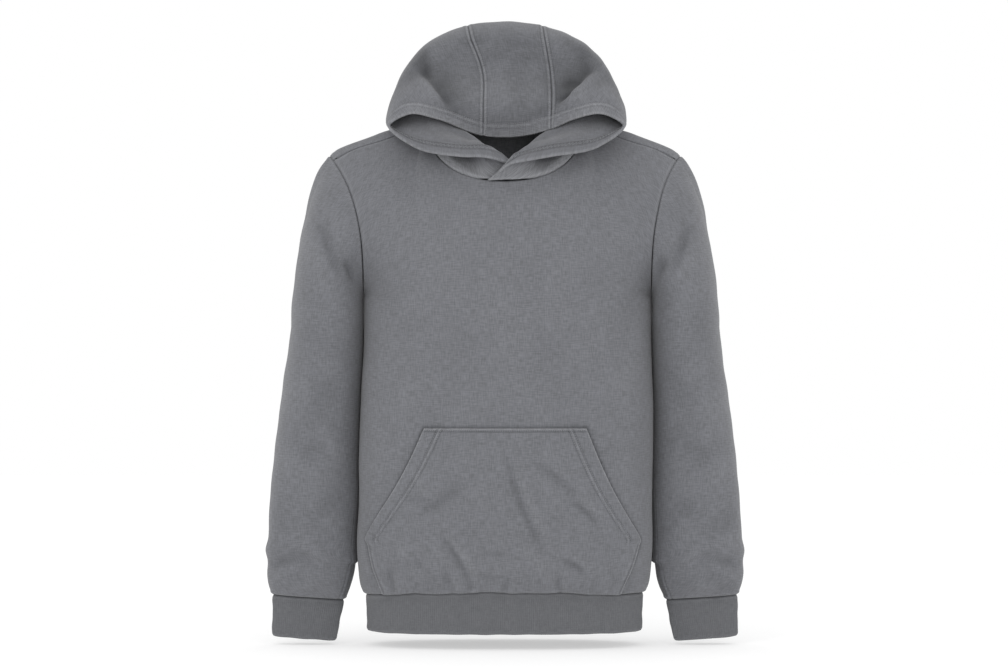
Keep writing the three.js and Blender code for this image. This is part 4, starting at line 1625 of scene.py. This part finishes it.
@dataclass
class SetInSleeve:
    """A sleeve from the armhole to the cuff seam, with its underarm seam."""

    side: Side
    piece: ClothPiece
    columns: int = 128
    cap_rows: int = 46
    low_rows: int = 112
    cap_length: float = 150.0  # along the cloth from the armhole to the sleeve's straight part
    seam_at: tuple[float, float] = (0.5, 0.40)  # way round of the underarm seam, at armhole and cuff

    def weave(self) -> Weave:
        """Lays out the sleeve with its seams and creases.

        Returns:
            The sleeve's grid.
        """
        side = self.side.value
        samples = np.linspace(0, 1, 2001)
        path = sleeve_surface(side, samples, np.full(samples.shape, 1.4))
        us = even_columns(path, samples, self.columns)[:-1]
        cap = steps_across(self.cap_length, self.cap_rows, NEAR_SEAM)
        low = steps_across(SLEEVE_TOP_Z - CUFF_SEAM_Z, self.low_rows, (), NEAR_SEAM)
        vs = np.concatenate([cap[:-1], 1 + low])
        u, v = np.meshgrid(us, vs)
        cloth = Weave(sleeve_surface(side, u, v), ring=True, turned=side < 0)
        x, z = side * cloth.points[..., 0], cloth.points[..., 2]
        facing = np.sin(2 * math.pi * u)
        clear = 1 - smooth(0.16, 0.06, np.abs(u - 0.5)) * smooth(-600, -570, z)
        top, cuff = cloth.reach[Edge.LOW], cloth.reach[Edge.HIGH]
        calm = smooth(0, 12, top) * smooth(0, 8, cuff)
        lift = creases(SLEEVE_FRONT_CREASES, x, z) * smooth(0.25, 0.75, facing)
        lift += creases(SLEEVE_BACK_CREASES, x, z) * smooth(0.25, 0.75, -facing)
        lift += 0.7 * unevenness(x * 1.2, z, 80, 3.0 + side)
        # The relief is painted darker in its troughs and paler on its ridges, as painted shade and light
        cloth.raise_by(1.1 * lift * calm * clear, 0.09)
        cloth.raise_by(armpit_fill(z) * smooth(0.2, 0.08, np.abs(u - 0.5)))
        around = cloth.reach[Edge.FIRST]
        seam_u = self.seam_at[0] + (self.seam_at[1] - self.seam_at[0]) * np.clip(v - 1, 0, 1)
        at = np.array([np.interp(s, us, row) for s, row in zip(seam_u[:, 0], around, strict=True)])[:, None]
        seam = np.abs(around - at)
        cloth.raise_by(seam_roll(seam, 0.9, 0.3) * (0.2 + 0.8 * clear))
        # Beside the underarm seam the roll wears paler and the dip is painted darker, partly dye that stays
        # there and partly painted shade
        cloth.fade += 1.4 * seam_wear_and_shading(seam)
        # Low down, the cloth behind the underarm seam is in shade
        behind = smooth(0, 6, around - at) * smooth(0.62, 0.56, u)
        cloth.fade -= 0.45 * behind * smooth(-470, -540, z)
        cloth.raise_by(seam_roll(top, 1.3, 0.3) + seam_roll(cuff, 1.1, 0.9))
        cloth.fade += seam_wear_and_shading(top) * 0.8 + seam_wear_and_shading(cuff)
        return cloth

    def build(self) -> None:
        """Makes the sleeve."""
        self.piece.dress(self.weave())


@dataclass
class RibBand:
    """A cuff or the hem band: rib knit folded double, its ribs raised.

    The ribs are 3 mm apart, about twice as coarse as real ones, so that they show.
    """

    piece: ClothPiece
    ribs: int
    rows: int = 15
    height: float = 57.5
    relief: float = 0.4
    thick: float = 3.0
    turned: bool = False

    def surface(self, u: Array, v: Array) -> Array:
        """The band's outer face, u round it and v from the seam to the fold."""
        raise NotImplementedError

    def weave(self) -> Weave:
        """Lays out the band with its ribs, on four columns each.

        Returns:
            The band's grid.
        """
        samples = np.linspace(0, 1, 4001)
        path = self.surface(samples, np.full(samples.shape, 0.5))
        us = even_columns(path, samples, 4 * self.ribs)[:-1]
        vs = steps_across(self.height, self.rows, NEAR_SEAM[:5], (0.8, 1.8, 3.2, 5.0))
        cloth = Weave(self.surface(*np.meshgrid(us, vs)), ring=True, turned=self.turned)
        seam, fold = cloth.reach[Edge.LOW], cloth.reach[Edge.HIGH]
        x, z = cloth.points[..., 0], cloth.points[..., 2]
        wave = np.cos(np.arange(4 * self.ribs) * math.pi / 2)[None, :]
        cloth.raise_by(0.5 * unevenness(x * 1.3, z * 1.6, 46, 0.9) * smooth(0, 10, seam))
        cloth.raise_by(self.relief * wave * smooth(1, 7, seam) * (0.5 + 0.5 * smooth(0, 4, fold)))
        cloth.raise_by(seam_roll(seam, 1.0, 0.2) - 1.3 * bell(fold, 1.6))
        # Below the seam the band is painted darker in patches, as painted shadow under the body's edge. The
        # rib crests are painted paler and the furrows darker, as painted light and shade, and the fold is
        # painted paler
        cloth.fade -= 0.16 * (1 - smooth(2, 16, seam)) * (1 + 0.8 * unevenness(x * 1.5, z, 60, 2.0))
        cloth.fade += 0.10 * wave + seam_wear_and_shading(seam) * 0.9 + 0.3 * bell(fold - 1.5, 1.6)
        cloth.thick[:] = self.thick
        return cloth

    def build(self) -> None:
        """Makes the band."""
        self.piece.dress(self.weave())


@dataclass
class Cuff(RibBand):
    """A sleeve's cuff."""

    side: Side = Side.LEFT

    def surface(self, u: Array, v: Array) -> Array:
        """The cuff's outer face.

        Args:
            u: The way round, from the outer side forward.
            v: 0 at the seam and 1 at the fold.

        Returns:
            The points.
        """
        z = CUFF_SEAM_Z + (CUFF_END_Z - CUFF_SEAM_Z) * v
        angle = 2 * math.pi * u
        points = ring_point(CUFF.at(z), self.side.value, angle, z - SEAM)
        points[..., 2] += CUFF_TILT * np.cos(angle)
        return points


@dataclass
class HemBand(RibBand):
    """The rib band round the hem."""

    def surface(self, u: Array, v: Array) -> Array:
        """The band's outer face.

        Args:
            u: The way round, from the right side forward.
            v: 0 at the seam and 1 at the fold.

        Returns:
            The points.
        """
        quarter = 4 * np.mod(u, 1.0)
        side = np.where((quarter <= 1) | (quarter > 3), 1.0, -1.0)
        turn = np.where(np.mod(quarter, 2) <= 1, np.mod(quarter, 2), 2 - np.mod(quarter, 2))
        z = HEM.rows[-1, 0] + (HEM_END_Z - HEM.rows[-1, 0]) * v
        faces = [body_point(face, side, turn, z, HEM) for face in (Face.FRONT, Face.BACK)]
        return hem_droop(np.where((quarter < 2)[..., None], *faces), 1 - smooth(0.0, 0.9, v))


@dataclass
class HoodPanel:
    """A panel of the hood between two of its lines, from the mouth hem to the neck seam."""

    piece: ClothPiece
    start: float
    stop: float
    columns: int
    rows: int = 118
    hem: tuple[float, float] = (12.5, 18.5)  # the two rows of stitches along the mouth
    fold: float = 1.9  # thickness that the turned-in hem adds
    seam_stitch: float = 4.0

    def weave(self) -> Weave:
        """Lays out the panel with its hem, seams and creases.

        Returns:
            The panel's grid.
        """
        samples = np.linspace(self.start, self.stop, 1601)
        path = hood_surface(samples, np.array([1.6]))[0]
        us = even_columns(path, samples, self.columns, NEAR_SEAM, NEAR_SEAM)
        rings = np.linspace(0, len(HOOD_RINGS), 1601)
        middle = hood_surface(np.array([(self.start + self.stop) / 2]), rings)[:, 0]
        vs = even_columns(middle, rings, self.rows, (0.7, 1.5, 2.6, 4.2, 6.2, 8.4), NEAR_SEAM)
        points = hood_surface(us, vs)
        lips = smooth(4.6, 5.4, np.abs(us))[None, :] * bell(vs[:, None] - 2.6, 1.5)
        points[..., 2] += sum(rise * bell(points[..., 0] - x0, wide) for x0, wide, rise in LIP_WAVES) * lips
        cloth = Weave(points)
        n = cloth.normals()
        x, z = cloth.points[..., 0], cloth.points[..., 2]
        mouth, seam = cloth.reach[Edge.LOW], np.full(x.shape, 1e3)
        for edge, line in ((Edge.FIRST, self.start), (Edge.LAST, self.stop)):
            if abs(line) == LAST_LINE:
                mouth = np.minimum(mouth, cloth.reach[edge])
            else:
                seam = np.minimum(seam, cloth.reach[edge])
        foot = cloth.reach[Edge.HIGH]
        v = vs[:, None] + 0 * x
        ahead = smooth(0.05, 0.4, -n[..., 1]) * smooth(5.0, 4.3, v) * smooth(4, 14, mouth)
        behind = smooth(0.05, 0.4, n[..., 1]) * smooth(4.0, 4.6, v)
        lift = creases(HOOD_FRONT_CREASES, x, z) * ahead + creases(HOOD_BACK_CREASES, x, z) * behind
        lift += 0.6 * unevenness(x * 1.3, z * 1.3, 58, 5.0) * smooth(8, 26, mouth)
        # The relief is painted darker in its troughs and paler on its ridges, as painted shade and light
        cloth.raise_by(lift * smooth(0, 14, foot), 0.1)
        rows = sum(-0.5 * bell(mouth - d, 1.2) for d in self.hem)
        roll = seam_roll(seam, 0.6, 0.5) - 0.4 * bell(seam - self.seam_stitch, 0.9)
        cloth.raise_by(rows + roll + 0.5 * (1 - smooth(18, 21, mouth)) + seam_roll(foot, 0.5, 0.4))
        cloth.thick = CLOTH + self.fold * (1 - smooth(19.5, 21.5, mouth)) - 0.4 * bell(mouth, 1.5)
        # The rim, the hem and the seam rolls wear paler. The rows of stitches and the seams' dips are
        # painted darker, partly dye that stays there and partly painted shade, and the hood's recessed
        # middle in front is painted darker, partly a tone that lost less dye and partly painted shade
        needled = sum(bell(mouth - d, 1.0) for d in self.hem)
        cloth.fade += 0.6 * bell(mouth, 2.0) + 0.3 * bell(mouth - 15.5, 1.8) - 0.45 * needled
        cloth.fade += 0.7 * bell(seam - 2.4, 1.1) - 0.6 * bell(seam, 0.8) - 0.3 * bell(seam - 5.2, 0.9)
        cloth.fade += seam_wear_and_shading(foot) - 0.14 * smooth(2.3, 1.5, np.abs(us)) * ahead
        # Shade at the corners of the mouth, and light on the brow's hem and on the folds at the throat
        cloth.fade -= 0.35 * smooth(96, 116, np.abs(x)) * smooth(1.0, 2.0, v) * smooth(6.0, 4.0, v)
        brow = (1 - smooth(17, 20, mouth)) * smooth(3.5, 2.5, np.abs(us))
        cloth.fade += 0.45 * brow * smooth(0.0, 0.3, -n[..., 1])
        y = cloth.points[..., 1]
        throat = (1 - smooth(14, 34, foot)) * smooth(-30, -60, y)
        cloth.fade += 0.9 * throat * smooth(0.05, 0.4, -n[..., 1])
        # The inside is painted paler as painted light inside the hood and neck, but for what shows in the
        # mouth
        cloth.lining = 0.9 * smooth(-60, -20, y) - 0.15  # paler inside, but for what shows in the mouth
        return cloth

    def stitches(self, cloth: Weave) -> bpy.types.Object:
        """Sews twin rows along the mouth, and a row beside each seam.

        Args:
            cloth: The panel's grid.

        Returns:
            The stitches.
        """
        thread = Thread()

        def inner(line: tuple[Array, Array]) -> tuple[Array, Array]:
            """The line again, on the inner face of the hem."""
            points, normals = Thread.evenly(line, 2.0)
            return points - normals * (CLOTH + self.fold), -normals

        lines = [cloth.line(Edge.LOW, d) for d in self.hem]
        for line in lines:
            thread.row(line)
        thread.zigzag(inner(lines[0]), inner(lines[1]))
        for edge, at in ((Edge.FIRST, self.start), (Edge.LAST, self.stop)):
            if abs(at) == LAST_LINE:
                for d in self.hem:
                    thread.row(cloth.line(edge, d, 0.1, 1.0))
            else:
                thread.row(cloth.line(edge, self.seam_stitch, 0.01, 0.99))
        return thread.build(self.piece.node + "_stitches")

    def build(self) -> None:
        """Makes the panel and its stitches."""
        cloth = self.weave()
        self.piece.dress(cloth, (self.stitches(cloth),))


# Studio


@dataclass(frozen=True)
class Studio:
    """Camera, lights and backdrop of a catalogue cut-out."""

    distance: float = 5.0  # from the camera to the garment, in metres
    centre: tuple[float, float] = (-0.0014, -0.2744)  # x and z that the camera looks at
    lens: float = 127.55
    floor_z: float = -0.706
    floor_half: float = 6.0

    def camera(self) -> None:
        """Makes the camera, level and square to the garment."""
        data = bpy.data.cameras.new("camera")
        data.lens, data.sensor_width = self.lens, 36.0
        made = bpy.data.objects.new("camera", data)
        made.location = (self.centre[0], -self.distance, self.centre[1])
        made.rotation_euler = (math.pi / 2, 0, 0)
        bpy.context.scene.collection.objects.link(made)
        bpy.context.scene.camera = made

    def light(self, name: str, place: tuple, size: tuple, power: float) -> None:
        """Makes a soft box that looks at the garment.

        Args:
            name: The light's name.
            place: Its centre in metres.
            size: Its width and height in metres.
            power: Its power in watts.
        """
        data = bpy.data.lights.new(name, "AREA")
        data.shape, data.size, data.size_y, data.energy = "RECTANGLE", *size, power
        made = bpy.data.objects.new(name, data)
        made.location = place
        aim = Vector((0, 0, -0.3)) - Vector(place)
        made.rotation_euler = aim.to_track_quat("-Z", "Y").to_euler()
        bpy.context.scene.collection.objects.link(made)

    def build(self) -> None:
        """Makes the lights, the floor and the white surround."""
        self.light("key_softbox", (-1.4, -2.8, 1.7), (1.4, 1.4), 13)
        self.light("front_softbox", (0.3, -4.2, 0.1), (1.2, 1.2), 26)
        world = bpy.data.worlds.new("white studio")
        world.use_nodes = True
        world.node_tree.nodes["Background"].inputs["Color"].default_value = (1, 1, 1, 1)
        world.node_tree.nodes["Background"].inputs["Strength"].default_value = 1.0
        bpy.context.scene.world = world
        bpy.context.scene.view_settings.view_transform = "Standard"
        corners = np.array([(-1, -1, 0), (1, -1, 0), (1, 1, 0), (-1, 1, 0)], float)
        floor = new_object("floor", corners * self.floor_half / MM, [[0, 1, 2, 3]])
        floor.location.z = self.floor_z
        floor.data.materials.append(Material.TABLE.get())


# The garment


def assemblies() -> list[BodyPanel | KangarooPocket | SetInSleeve | RibBand | HoodPanel]:
    """The garment's pieces.

    Returns:
        The sub-assemblies, in the order in which they are made.
    """
    fleece, rib = Material.FLEECE, Material.RIB
    hood_sides = ("hood_side_left", "hood_side_right")
    made: list = [
        BodyPanel(Face.FRONT, ClothPiece("front", fleece, (0.62, 0.66), 0.36, "hung", hood_sides)),
        BodyPanel(Face.BACK, ClothPiece("back", fleece, (0.62, 0.70), 0.38, "hung", ("hood_centre",))),
        KangarooPocket(ClothPiece("pocket", fleece, (0.39, 0.23), 0.075, "laid", ("front",))),
        HemBand(ClothPiece("hem_rib", rib, (1.02, 0.06), 0.06, "stretched", ("front", "back")), ribs=340),
    ]
    for side, word, right in ((Side.LEFT, "left", False), (Side.RIGHT, "right", True)):
        sleeve = ClothPiece("sleeve_" + word, fleece, (0.44, 0.62), 0.2, "hung", ("front", "back"))
        cuff = ClothPiece("cuff_" + word, rib, (0.24, 0.06), 0.0138, "stretched", ("sleeve_" + word,))
        hood = ClothPiece("hood_side_" + word, fleece, (0.25, 0.36), 0.063, "draped", ("front", "back"))
        made += [
            SetInSleeve(side, sleeve),
            Cuff(cuff, ribs=78, turned=not right, side=side),
            HoodPanel(hood, 1.004 if right else -LAST_LINE, LAST_LINE if right else -1.004, columns=118),
        ]
    centre = ClothPiece("hood_centre", fleece, (0.12, 0.45), 0.046, "draped", hood_sides)
    made.append(HoodPanel(centre, -0.996, 0.996, columns=34))
    return made


def main() -> None:
    """Builds the dressed garment and its studio."""
    logging.basicConfig(level=logging.INFO, format="%(name)s: %(message)s")
    for old in list(bpy.data.objects):
        bpy.data.objects.remove(old)
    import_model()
    studio = Studio()
    studio.camera()
    for part in assemblies():
        part.build()
        log.info("built %s", part.piece.node)
    studio.build()
    bpy.context.view_layer.update()


if __name__ == "__main__":
    main()
